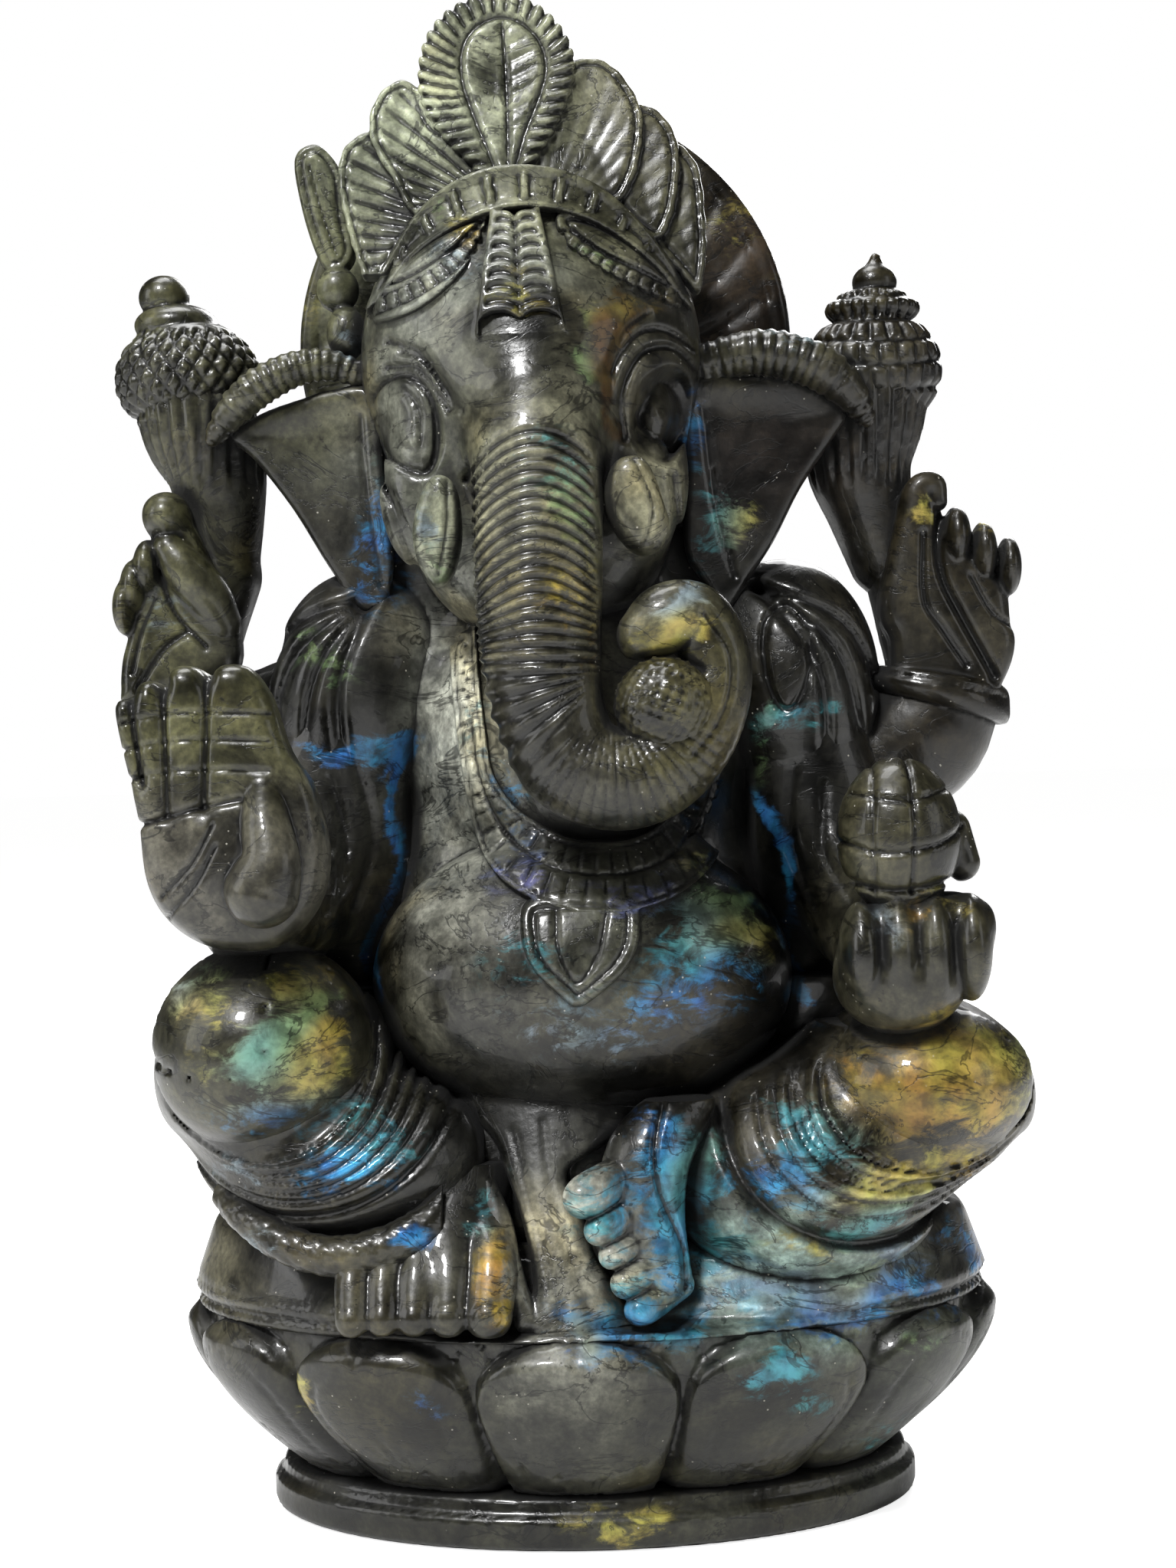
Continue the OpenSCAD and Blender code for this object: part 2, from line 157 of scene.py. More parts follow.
def track(u, v, points, steps=5):
    """How far to the left of a flat line each point is, and how far along the line."""
    line = smooth_line(points, steps)
    best = np.full(u.shape, 1e6, np.float32)
    side = np.zeros(u.shape, np.float32)
    along = np.zeros(u.shape, np.float32)
    run = 0.0
    for a, b in zip(line[:-1], line[1:]):
        du, dv = b[:2] - a[:2]
        length = math.hypot(du, dv)
        t = np.clip(((u - a[0]) * du + (v - a[1]) * dv) / length**2, 0, 1)
        gu, gv = u - a[0] - t * du, v - a[1] - t * dv
        gap = np.hypot(gu, gv)
        closer = gap < best
        best = np.where(closer, gap, best)
        side = np.where(closer, np.where(du * gv - dv * gu > 0, gap, -gap), side)
        along = np.where(closer, run + t * length, along)
        run += length
    return side, along


def outline(u, v, points, steps=4):
    """Signed distance to a closed flat outline, negative inside."""
    line = smooth_line(points, steps, closed=True)
    best = np.full(u.shape, 1e6, np.float32)
    inside = np.zeros(u.shape, bool)
    for a, b in zip(line[:-1], line[1:]):
        du, dv = b[:2] - a[:2]
        length = math.hypot(du, dv)
        if length < 1e-6:
            continue
        t = np.clip(((u - a[0]) * du + (v - a[1]) * dv) / length**2, 0, 1)
        best = np.minimum(best, np.hypot(u - a[0] - t * du, v - a[1] - t * dv))
        if abs(dv) > 1e-9:
            crosses = ((a[1] > v) != (b[1] > v)) & (u < a[0] + (v - a[1]) * du / dv)
            inside ^= crosses
    return np.where(inside, -best, best)


def stroke(u, v, points, width, depth):
    """The depth of a cut line that follows flat points."""
    side, _ = track(u, v, points, 4)
    return depth * np.exp(-((side / width) ** 2))


def strokes(u, v, lines):
    """The depth of several cut lines together, each with its points, width and depth."""
    return sum(stroke(u, v, *line) for line in lines)


def line_at(value, place, width, depth=1.0):
    """A cut of one width where a value passes a place."""
    return depth * np.exp(-(((value - place) / width) ** 2))


def ridges(phase):
    """0 on the top of each ridge and 1 in each groove between, once per whole number."""
    return 0.5 + 0.5 * np.cos(2 * math.pi * phase)


def notches(phase, sharp):
    """Narrow cuts at each whole number of a phase."""
    return ridges(phase) ** sharp


def ramp(value, start, end):
    """0 before start, 1 after end, and smooth between."""
    t = np.clip((value - start) / (end - start), 0, 1)
    return t * t * (3 - 2 * t)


def blend(a, b, soft):
    """The nearer of two shapes, with a fillet where they meet."""
    h = np.clip(0.5 + 0.5 * (b - a) / soft, 0, 1)
    return b + (a - b) * h - soft * h * (1 - h)


def meet(a, b, soft):
    """Where two shapes overlap, with a rounded edge."""
    return -blend(-a, -b, soft)


def plate(flat, level, thickness, edge):
    """A flat outline given a thickness about a level surface, with rounded edges."""
    return meet(flat, np.abs(level) - thickness / 2, edge)


def pillow(p, points, middle, thickness, edge):
    """A padded shape with an outline seen from the front."""
    return plate(outline(p[0], p[2], points), p[1] - middle, thickness, edge)


def between(x, z, inner, outer):
    """0 on the inner ellipse, 1 on the outer one and even steps between; and how many mm apart they are."""
    near = np.hypot((x - inner[0]) / inner[2], (z - inner[1]) / inner[3]) - 1
    turn = math.radians(outer[4])
    u = (x - outer[0]) * math.cos(turn) + (z - outer[1]) * math.sin(turn)
    v = (z - outer[1]) * math.cos(turn) - (x - outer[0]) * math.sin(turn)
    far = 1 - np.hypot(u / outer[2], v / outer[3])
    gap = near * inner[3] + far * outer[3]
    return near / np.maximum(near + far, 0.02), gap


# ---------------------------------------------------------------- the base, measured from the underside


def plinth(p):
    x, y, z = p
    rim = oval(x, y, 64.5, 43)
    set_in = 1.6 * ramp(z, 6.6, 7.6)
    body = meet(rim + set_in, np.abs(z - 5) - 5, 2.4)
    return body, 1.1 * line_at(z, 7.2, 0.7)


def lotus_side(x, y, z):
    """The lotus body's side, before its petals: it spreads upward in a curve."""
    up = np.clip((z - 10) / 27, 0, 1)
    spread = 0.72 + 0.28 * (1 - (1 - up) ** 1.7)
    return oval(x, y, 78.5 * spread, 51.5 * spread), up, spread


def lotus_seat(p):
    x, y, z = p
    side, up, spread = lotus_side(x, y, z)
    turn = (np.arctan2(y / 51.5, x / 78.5) + math.pi / 2) / (math.pi / 6) + 0.07
    across = 2 * (turn - np.round(turn))
    room = 19.5 * spread
    round_top = np.sqrt(np.clip(1 - (np.maximum(z - 28, 0) / 13.2) ** 2, 0, 1))
    shape = (0.93 + 0.06 * up) * round_top
    edge = (np.abs(across) - shape) * room
    dome = 3.2 * (1 - np.clip(across / np.maximum(shape, 0.05), -1, 1) ** 2) ** 0.6 * ramp(z, 42, 37)
    back = 2.6 * ramp(edge, -0.4, 1.6)
    inner_top = np.sqrt(np.clip(1 - (np.maximum(z - 24, 0) / 12) ** 2, 0, 1))
    inner = (np.abs(across) - (0.62 + 0.12 * up) * inner_top) * room
    lines = line_at(edge, 0.2, 0.6, 1.0) + line_at(inner, 0, 0.5, 0.55) * ramp(up, 0.0, 0.12)
    for place, top in ((0.0, 0.55), (0.17, 0.45), (0.33, 0.35)):
        vein = line_at(np.abs(across) - place * (0.6 + up), 0, 0.022, 0.5)
        lines = lines + vein * ramp(up, top, top - 0.2)
    tip = (1 - np.abs(across)) * room - 6.5 * np.sqrt(np.clip((41.5 - z) / 11, 0, 1))
    lines = lines + line_at(tip, 0, 0.5, 0.6) * ramp(edge, 0.8, 1.8)
    body = meet(side - dome + back, np.maximum(z - 41.3 - 0.2 * dome, 10 - z), 1.2)
    return body, lines


# ---------------------------------------------------------------- the lap and legs, measured from the ground


def seat_ground(p):
    x, y, z = p
    side = oval(x, y, 79.5 - 0.35 * np.maximum(z + 8, 0), 51.5 - 0.3 * np.maximum(z + 8, 0))
    top = -10.5 + 13 * ramp(y, -46, -30) + 3 * ramp(np.abs(x), 50, 74)
    lump = 1.2 * np.sin(x * 0.16 + y * 0.1) * np.sin(y * 0.13 + 1)
    notch = line_at(z, -9.8, 0.9, 1.3) + line_at(z, -7.3, 0.6, 0.5) * ramp(x, -30, -50)
    return meet(side, np.maximum(z - top - lump, -12.5 - z), 3.0), notch


def lap(p):
    body = eggs(p, egg(p, (0, 0, 18), (53, 30, 24)), [((0, 8, 8), (62, 36, 16), 6)])
    return eggs(p, body, [((side * 47, 6, 52), (15, 17, 32), 6) for side in (-1, 1)]), 0.0


SASH = [
    (-27, 36), (-22, 27), (-17.5, 22), (-15.6, 17), (-12.4, 8), (-10.4, -2.5), (-10.5, -11), (8, -11),
    (4.6, -4.1), (0.8, 3), (-1.9, 11.2), (-3.8, 16.5), (2.5, 20.5), (13.5, 27), (22, 36),
]


def central_sash(p):
    x, y, z = p
    front = -33 - 0.42 * (26 - z) + 0.02 * (x + 5) ** 2
    body = plate(outline(x, z, SASH), y - front - 5, 10, 3)
    fold, _ = limb(p, [(-19, -33, 15, 1.5), (-16.5, -38, 8, 2.4), (-15, -42, 0.3, 2.6), (-12, -45, -9, 2.2)])
    pleats = [
        ([(-14, 24), (-11.5, 14), (-8, 2), (-5, -9)], 0.8, 0.45),
        ([(-8, 26), (-7, 16), (-4, 4), (0, -8)], 0.8, 0.35),
    ]
    return blend(body, fold, 1.0), strokes(x, z, pleats) * ramp(y, -28, -32)


# The legs' round forms as seen from the front. A knee: its middle and half sizes. A hem: these and its turn.
KNEE_RIGHT = (-61, 41, 21.5, 20.5)
HEM_RIGHT = (-50, 34.5, 33.5, 28.5, 8)
KNEE_LEFT = (65, 31, 21, 15.5)
HEM_LEFT = (50, 24, 38, 34, 14)


def knee_edge(x, z, knee, hem):
    """The cut around a kneecap, and the dive of its edge under the leg's first fold."""
    ring, gap = between(x, z, knee, hem)
    return line_at(ring * gap, 0, 0.8, 1.5) + 3.5 * ramp(ring, 0.02, 0.12)


def knee_right(p):
    x, y, z = p
    edge = knee_edge(x, z, KNEE_RIGHT, HEM_RIGHT)
    return egg(p, (-61.5, -23, 40.5), (21.9, 26, 20.5)), edge * ramp(y, -10, -18)


def ring_cuts(ring, gap, rings):
    """Grooves a steady width in mm, at places between an inner and an outer ellipse."""
    fade = ramp(gap, 3, 8)
    return sum(line_at((ring - place) * gap, 0, width, depth) for place, width, depth in rings) * fade


def leg_right(p):
    x, y, z = p
    body = eggs(p, egg(p, (-60, -17, 35), (23.8, 26, 22.5)), [((-45, -20, 18), (28, 25, 18), 7)])
    ring, gap = between(x, z, KNEE_RIGHT, HEM_RIGHT)
    cuts = ring_cuts(ring, gap, [(place, 0.7, 1.2) for place in (0.0, 0.18, 0.33, 0.46, 0.59, 0.76)])
    cuts = cuts + 1.2 * ramp(ring, -0.02, -0.10)
    return body, cuts * ramp(y, -2, -12) * ramp(z - 0.4 * (x + 40), 50, 40)


def hem_band(p):
    line = [
        (-69, -30, 13, 2.6), (-64, -36, 9.5, 3.2), (-55, -41, 5, 3.7), (-45, -43.5, 3.6, 3.9),
        (-34, -43, 6.5, 3.9), (-26, -39, 12, 3.4), (-22, -35, 18, 2.4),
    ]
    body, along = limb(p, line)
    hatch = notches((along + 1.3 * p[2]) / 3.6, 4)
    return body, 0.28 * np.maximum(hatch, 0.8 * notches((along - 1.1 * p[2]) / 4.9, 5))


def foot_right(p):
    x, y, z = p
    body, _ = limb(p, [(-22, -26, 14, 8), (-26, -36, 4, 8.5), (-28, -41, -2, 7)])
    body = blend(body, egg(p, (-31, -41, -5), (15, 8, 7)), 3)
    toes = ((-18.6, 4.6), (-26.0, 3.9), (-32.2, 3.5), (-38.0, 3.3), (-43.6, 3.4))
    cut = 0.0
    for middle, half in toes:
        root = -24 + (middle + 24) * 0.62
        root_end, tip_end = (root, -35, 8, half * 0.95), (middle, -48.5, -7.2, half * 0.95)
        bend = [root_end, (middle + 0.6, -43, 1.5, half), tip_end]
        toe, _ = limb(p, bend)
        body = blend(body, toe, 1.0)
        nail = oval(x - middle, z + 6.6, half * 0.62, 2.2)
        cut = cut + line_at(nail, 0, 0.35, 0.35) * ramp(y, -50, -52)
    return meet(body, -z - 11.0, 0.8), cut


def knee_left(p):
    x, y, z = p
    edge = knee_edge(x, z, KNEE_LEFT, HEM_LEFT)
    return egg(p, (65, -18, 31), (22.8, 27.5, 17)), edge * ramp(y, -6, -14)


def leg_left(p):
    x, y, z = p
    body = eggs(p, egg(p, (62.5, -15, 27), (25.5, 27, 20)), [((41, -20, 13), (28.5, 27, 23), 8)])
    ring, gap = between(x, z, KNEE_LEFT, HEM_LEFT)
    rings = [(0, 0.8, 1.6), (0.16, 0.6, 1.3), (0.23, 0.5, 0.8), (0.30, 0.5, 0.8), (0.41, 0.6, 1.2)]
    rings = rings + [(0.53, 0.5, 0.8), (0.71, 1.1, 2.2)]
    steps = 0.8 * ramp(ring, 0.16, 0.19) - 0.5 * ramp(ring, 0.29, 0.32) + 0.6 * ramp(ring, 0.41, 0.44)
    hem = 3.0 * ramp(ring, 0.985, 1.03) - 0.9 * ramp(ring, 0.73, 0.77)
    cuts = ring_cuts(ring, gap, rings) + (steps + hem) * ramp(gap, 5, 12)
    cuts = cuts + 1.2 * ramp(ring, -0.02, -0.10)
    return body, cuts * ramp(y, -2, -12) * ramp(z - 0.3 * (x - 40), 38, 28)


def foot_left(p):
    body, _ = limb(p, [(19, -34, 29, 5.5), (11.5, -38, 19.5, 8), (10.5, -40, 9, 7.6), (13, -42, -1.5, 6)])
    toes = ((0.8, 14.6, 4.2), (3.6, 8.6, 3.2), (5.8, 3.9, 2.8), (8.2, -1.2, 3.2), (10.6, -6.2, 3.2))
    for tip, height, thick in toes:
        root = (tip + 6, -41, height + 2.5, thick * 0.9)
        toe, _ = limb(p, [root, (tip, -47, height, thick), (tip - 1.6, -48.5, height - 0.6, thick * 0.9)])
        body = blend(body, toe, 0.5)
    return body, stroke(p[0], p[2], [(15, 32), (12.6, 22), (13.4, 14), (17, 4), (17.5, -4)], 0.7, 1.0)


# ---------------------------------------------------------------- the body, measured from the ground


CHEST = ((0, -8, 98), (24, 21, 27), 8)
BELLY = ((0, -10, 51.5), (41.5, 33, 29.5))


def chest_form(p):
    """The torso and belly together, which the necklace and pendant lie on."""
    return eggs(p, egg(p, (0, 9, 100), (36, 27, 34)), [CHEST, (*BELLY, 5)])


def torso(p):
    x, y, z = p
    body = eggs(p, egg(p, (0, 10, 55), (43, 27, 44)), [((0, 9, 100), (37, 27, 36), 8), CHEST])
    body = eggs(p, body, [((side * 37, 11, 110), (16, 15, 17), 8) for side in (-1, 1)])
    body = eggs(p, body, [((-3, 9, 136), (41, 14, 20), 8)])
    folds = [
        ([(-27, 120), (-28, 100), (-32, 84)], 0.8, 0.8),
        ([(-13, 112), (-12.5, 96), (-9, 84)], 0.7, 0.7),
        ([(27, 100), (30, 88), (34, 78)], 0.8, 0.8),
    ]
    return body, strokes(x, z, folds) * ramp(y, -8, -14)


def belly(p):
    return egg(p, *BELLY), 0.0


NECKLACE = [
    (-22.3, 124), (-21.5, 112), (-20.4, 101), (-18.8, 90), (-14.5, 80.5), (-7, 74.5), (3, 72), (13, 73),
    (21, 77.5), (26, 85), (28.5, 96),
]


def necklace(p):
    x, y, z = p
    side, along = track(x, z, NECKLACE)
    half = 2.9 + 3.4 * ramp(along, 30, 52)
    body = meet(chest_form(p) - 2.2, np.abs(side) - half, 0.9)
    body = np.maximum(body, y + 8)
    shift = np.where(side > 0, 0.0, 0.4)
    inside = ramp(np.abs(side) - half, -0.2, -1.0)
    beads = 0.5 * notches(along / 3.4 + shift, 7) * inside
    lanes = line_at(side, 0.4, 0.5, 0.9) * ramp(along, 12, 30) + line_at(np.abs(side), half - 1.1, 0.4, 0.5)
    return body, np.maximum(beads, lanes)


PENDANT = [
    (-9.8, 68), (-10.9, 61.4), (-8.8, 55.6), (-4.5, 51.2), (-0.9, 48.5), (4, 51.5), (8.4, 55.6), (10.8, 61),
    (9.8, 68), (0, 69),
]


def pendant(p):
    x, y, z = p
    shield = outline(x, z, PENDANT)
    body = np.maximum(meet(chest_form(p) - 2.0, shield, 0.9), y + 20)
    leaf = stroke(x, z, [(-4.5, 66), (-4.2, 59), (-1, 53), (3, 58), (5, 66)], 0.55, 0.7)
    hollow = 0.8 * np.exp(-(((x - 1.2) / 2.6) ** 2) - ((z - 57.5) / 2.2) ** 2)
    return body, line_at(shield, -2.3, 0.5, 0.7) + leaf + hollow


def sleeve(p, side, top, swell, tails):
    """A gathered sleeve, with pleats that run from its top to each tail and bend outwards by the swell."""
    x, _, z = p
    body = eggs(p, egg(p, (side * 45, 5, 109), (17, 18, 24)), [((side * 40, 8, 118), (14, 15, 15), 6)])
    pleats = 0.0
    for tail in tails:
        bend = ((top[0] + tail[0]) / 2 + swell, (top[1] - 1 + tail[1]) / 2 + 3)
        pleats = pleats + stroke(x, z, [top, bend, tail], 1.2, 1.7)
    return body, pleats


def sleeve_right(p):
    body, pleats = sleeve(p, -1, (-40, 128), -3.5, ((-64, 113), (-62, 102), (-55, 93), (-46, 88)))
    edge = stroke(p[0], p[2], [(-66, 100), (-58, 91), (-46, 86)], 0.9, 0.9)
    return body, (pleats + edge) * ramp(p[1], 10, 2)


def sleeve_left(p):
    body, pleats = sleeve(p, 1, (37, 128), 4.5, ((61, 108), (57, 98), (50, 91)))
    leaf = outline(p[0], p[2], [(38, 120), (43, 124), (47, 117), (45, 106), (41, 103), (38, 110)])
    return body, (pleats + line_at(leaf, 0, 0.7, 1.2)) * ramp(p[1], 10, 2)


def front_arm(p, line, shoulder, folds):
    """A front arm, with folds in the cloth beside the body."""
    body, _ = limb(p, line)
    return eggs(p, body, [(shoulder, (13, 16, 34), 6)]), strokes(p[0], p[2], folds) * ramp(p[1], -2, -8)


def front_arm_right(p):
    line = [(-47, 4, 98, 14), (-54, 2, 82, 14), (-56, -6, 70, 13), (-61, -22, 66, 12), (-64, -33, 72, 11)]
    folds = [([(-44, 96), (-41, 80), (-45, 66)], 0.8, 0.9), ([(-49, 92), (-46, 78), (-49, 66)], 0.8, 0.9)]
    return front_arm(p, line, (-46, 7, 74), folds)


def front_arm_left(p):
    line = [(46, 4, 98, 13), (50, 3, 84, 13), (52, -4, 70, 12), (57, -20, 60, 11), (60, -30, 55, 10.5)]
    folds = [([(43, 92), (42, 78), (46, 64)], 0.8, 0.9), ([(49, 88), (48, 76), (52, 66)], 0.8, 0.8)]
    return front_arm(p, line, (46, 7, 72), folds)


PALM = [
    (-84.6, 104.5), (-84.2, 107), (-82.4, 108.4), (-80.4, 110.1), (-77.8, 110.8), (-75.6, 110.2),
    (-75.2, 112.2), (-72.8, 113.3), (-69.8, 113.1), (-67.3, 112), (-66.8, 112.6), (-64.3, 113.4),
    (-60.8, 113.1), (-58.4, 111.3), (-56.7, 108.7), (-55.5, 106.2), (-52.7, 97), (-48.5, 89.9),
    (-47.1, 78.4), (-49.7, 68.1), (-56.7, 61.4), (-67, 62.3), (-74.9, 67.6), (-79.2, 75.8), (-81.2, 87.3),
    (-83.4, 97.6),
]
THUMB = [(-57.6, -46, 90.5, 3.4), (-56.8, -49.5, 84, 4.4), (-55.8, -51.5, 77, 5.4), (-57.6, -51, 71.8, 6.9)]


def front_hand_right(p):
    x, y, z = p
    body = meet(outline(x, z, PALM), np.abs(y + 41 + 0.05 * (z - 90)) - 8 + 1.5 * ramp(z, 86, 112), 5)
    body = eggs(p, body, [((-64, -38, 76), (16, 12, 15), 5)])
    lines = [([(-81.5, 84), (-75, 85.5), (-69, 87), (-60.5, 88.5)], 0.6, 0.9)]
    for gap in (
        [(-81.6, 108.5), (-80.6, 100), (-79.5, 92)],
        [(-75.5, 111.5), (-75.2, 102), (-75, 86)],
        [(-67.2, 113), (-67.6, 101), (-68.3, 87)],
    ):
        lines = lines + [(gap, 0.5, 0.8), (gap, 1.7, 0.9)]
    for u, v in ((-66.5, 84), (-66, 80)):
        lines.append(([(u, v), (u - 4, v - 7), (u - 10, v - 13)], 0.5, 0.7))
    for low, high in ((103, 104.5), (98, 99.5), (92.5, 94)):
        lines.append(([(-83, low), (-72, high), (-56, low + 1)], 0.4, 0.45))
    thumb, _ = limb(p, THUMB)
    return blend(body + strokes(x, z, lines) * ramp(y, -38, -42), thumb, 0.6), 0.0


FIST = [
    (49.6, 63), (54.5, 66), (60.2, 66.6), (66, 67.6), (71.7, 67.4), (76.4, 64.8), (77, 59), (73.7, 53.4),
    (67.8, 47.9), (58.5, 44.5), (51, 49), (49.1, 56.4),
]
def front_hand_left(p):
    body = eggs(p, pillow(p, FIST, -38, 16, 6), [((60, -34, 51.5), (12.5, 14, 10.5), 4)])
    fingers = ((51.8, 57, 9.5), (58.6, 56.5, 11.5), (65.4, 56.5, 11.5), (72.2, 57.5, 10))
    return eggs(p, body, [((u, -41.5, height), (4.0, 8, tall), 0.8) for u, height, tall in fingers]), 0.0


def hand_sweet(p):
    lump, _ = limb(p, [(70, -34, 79, 4), (72, -34, 73, 3.6)])
    cuts = [
        ([(61, 94), (61.5, 82), (61, 68)], 0.5, 0.8),
        ([(55, 92), (54, 80), (54.5, 68)], 0.5, 0.5),
        ([(48, 78), (56, 75.5), (66, 77), (72, 80)], 0.5, 0.8),
        ([(49, 70.5), (58, 68.5), (70, 70)], 0.6, 1.0),
        ([(51, 86.5), (60, 85), (69, 87)], 0.5, 0.6),
    ]
    body = blend(egg(p, (59.8, -38.5, 78.5), (11.6, 11, 14.6)), lump, 1.2)
    return body, strokes(p[0], p[2], cuts) * ramp(p[1], -30, -38)


def rear_arm_right(p):
    line = [(-52, 12, 106, 13), (-68, 12, 103, 11), (-79, 10, 108, 10), (-78, 9, 120, 9.5)]
    return limb(p, line + [(-73, 10, 134, 9)])[0], 0.0


REAR_HAND_RIGHT = [
    (-86.1, 147.7), (-84.4, 149.5), (-81.4, 150), (-78.7, 148.9), (-77.2, 146.1), (-72.6, 135.6),
    (-68.5, 125.4), (-67.5, 121), (-68.8, 114), (-79.7, 110), (-90.8, 108), (-91.9, 111.1), (-91.5, 116.5),
    (-90.5, 120.3), (-89.3, 124.6), (-87.4, 131.1), (-85, 135.4), (-84, 138.9), (-84.4, 140.3),
    (-85.9, 144.7),
]


def rear_hand_right(p):
    x, y, z = p
    body = meet(outline(x, z, REAR_HAND_RIGHT), np.abs(y - 3) - 5.5, 4)
    body = eggs(p, body, [((-81.6, 0, 145.6), (4.8, 6, 4.9), 1.2)])
    tips = ((-85.6, 135.4, 3.0), (-88.5, 131.4, 2.8), (-90.4, 127.4, 2.5))
    body = eggs(p, body, [((u, 0, height), (wide, 6, 5.6), 0.7) for u, height, wide in tips])
    line = [(-81, -2, 139, 3.2), (-77.8, -2, 134.5, 4.4), (-73.6, -1, 129.5, 4.6), (-70.5, 0, 124, 3.4)]
    finger, _ = limb(p, line)
    cuts = [
        ([(-83.4, 138), (-82, 131), (-79.5, 125), (-74, 119)], 0.6, 1.1),
        ([(-78, 122), (-82.8, 118.5), (-88, 111)], 0.7, 1.0),
        ([(-84, 129), (-87, 122), (-89, 114)], 0.5, 0.7),
    ]
    return blend(body + strokes(x, z, cuts) * ramp(y, 2, -1), finger, 0.8), 0.0


def rear_arm_left(p):
    line = [(50, 12, 98, 13), (62, 11, 93, 13), (71, 9, 98, 13.5), (75, 8, 108, 11), (71, 9, 122, 9)]
    return limb(p, line + [(66.5, 10, 136, 7.5)])[0], 0.0


def bracelet_left(p):
    x, y, z = p
    tilt = z - 106.5 + 0.24 * (x - 74)
    body = meet(oval(x - 74, y - 8, 15, 14.5), np.abs(tilt) - 3.4 - 0.06 * (x - 74), 3)
    return body, line_at(tilt, 1.2, 0.5, 0.6) * ramp(y, 6, 0)


REAR_HAND_LEFT = [
    (68, 148), (65.8, 142.2), (63.9, 133), (62, 125), (62.4, 120.4), (64, 116.7), (64.4, 110), (67.9, 106),
    (72.4, 104), (79.3, 103), (84.5, 105), (88, 110.6), (89.3, 116), (88.4, 120.3), (88.1, 124.9),
    (87, 128), (84, 131.5), (80, 135.5), (75.8, 141), (74.4, 145), (72, 147.8),
]


def rear_hand_left(p):
    x, y, z = p
    body = meet(outline(x, z, REAR_HAND_LEFT), np.abs(y - 3) - 6, 4.5)
    tips = ((77.8, 137.6, 2.9), (83.2, 134.4, 2.7), (88.2, 131.2, 2.5))
    body = eggs(p, body, [((u, 0, height), (wide, 6, 5.9), 0.7) for u, height, wide in tips])
    line = [(68.6, 1, 144, 2.4), (70.6, 0, 147.4, 2.7), (73.4, 0, 148, 2.5), (74.2, 0, 144.6, 2.0)]
    knob, _ = limb(p, line)
    cuts = [
        ([(74.8, 143.5), (73.6, 136), (74.4, 129), (77.6, 122), (81.8, 114), (84.5, 109)], 0.9, 1.8),
        ([(70.8, 138), (70.6, 125), (73.9, 119), (78.8, 111.4)], 0.7, 1.0),
        ([(80, 129.5), (84, 122), (88.5, 119)], 0.5, 0.8),
    ]
    return blend(body + strokes(x, z, cuts) * ramp(y, 2, -1), knob, 0.8), 0.0


# ---------------------------------------------------------------- the buds, measured from the head


def bud_right(p):
    x, y, z = p
    tilt = z - 0.18 * (x + 71)
    body = meet(egg(p, (-71, 10, 2.5), (15.2, 13.8, 12.5)), -(tilt + 7), 2)
    body = eggs(p, body, [((-73.2, 10, 13.8), (8.6, 8, 4.4), 0.8), ((-75.6, 10, 19.6), (5.2, 5, 4.6), 0.6)])
    turn = np.arctan2(y - 10, x + 71) * 21 / (2 * math.pi)
    hatch = np.maximum(notches(turn + tilt / 5.4, 2.5), notches(turn - tilt / 5.4, 2.5))
    hatch = 0.95 * hatch * ramp(z, 12.5, 10.5) * ramp(tilt, -3.8, -2.6)
    return body, hatch + line_at(tilt, -3.4, 0.7, 1.0)


def flutes(p, middle):
    """Upright grooves around a stem."""
    return 0.9 * notches(np.arctan2(p[1] - 10, p[0] - middle) * 22 / (2 * math.pi), 2)


def bud_stem_right(p):
    line = [(-70, 10, 1, 12), (-69, 10, -7, 12), (-66, 10, -15, 10.5), (-65, 10, -24, 9)]
    return limb(p, line + [(-66, 10, -36, 8.5)])[0], flutes(p, -69) * ramp(p[2], -22, -16)


def bud_left(p):
    x, y, z = p
    body = meet(egg(p, (70, 10, 1), (14.3, 13.5, 12.8)), -(z + 9), 2)
    body = eggs(p, body, [((70.2, 10, 13.4), (9.8, 9, 4.4), 0.8), ((70.8, 10, 19), (4.6, 4.6, 3.8), 0.5)])
    tip, _ = limb(p, [(70.9, 10, 20, 2.6), (71.1, 10, 24, 1.1)])
    row = (z - 0.012 * (x - 70) ** 2) / 4.9
    turn = np.arctan2(y - 10, x - 70) * 20 / (2 * math.pi) + 0.5 * (np.floor(row) % 2)
    bricks = np.maximum(notches(row, 5), notches(turn, 3)) * ramp(z, 17, 16)
    return blend(body, tip, 1.0), 0.9 * bricks


def bud_stem_left(p):
    line = [(69, 10, 0, 12.5), (68.5, 10, -8, 12), (66.5, 10, -17, 11), (68.5, 10, -27, 9)]
    return limb(p, line + [(71.5, 10, -38, 7.5)])[0], flutes(p, 68) * ramp(p[2], -26, -19)


# ---------------------------------------------------------------- the head, measured from its own middle


def skull_form(p):
    """The head's main form, which the brow's ornaments lie on."""
    return eggs(p, egg(p, (0, -4, 3), (34, 31, 36)), [((1, -6, -27), (27, 26, 28), 10)])


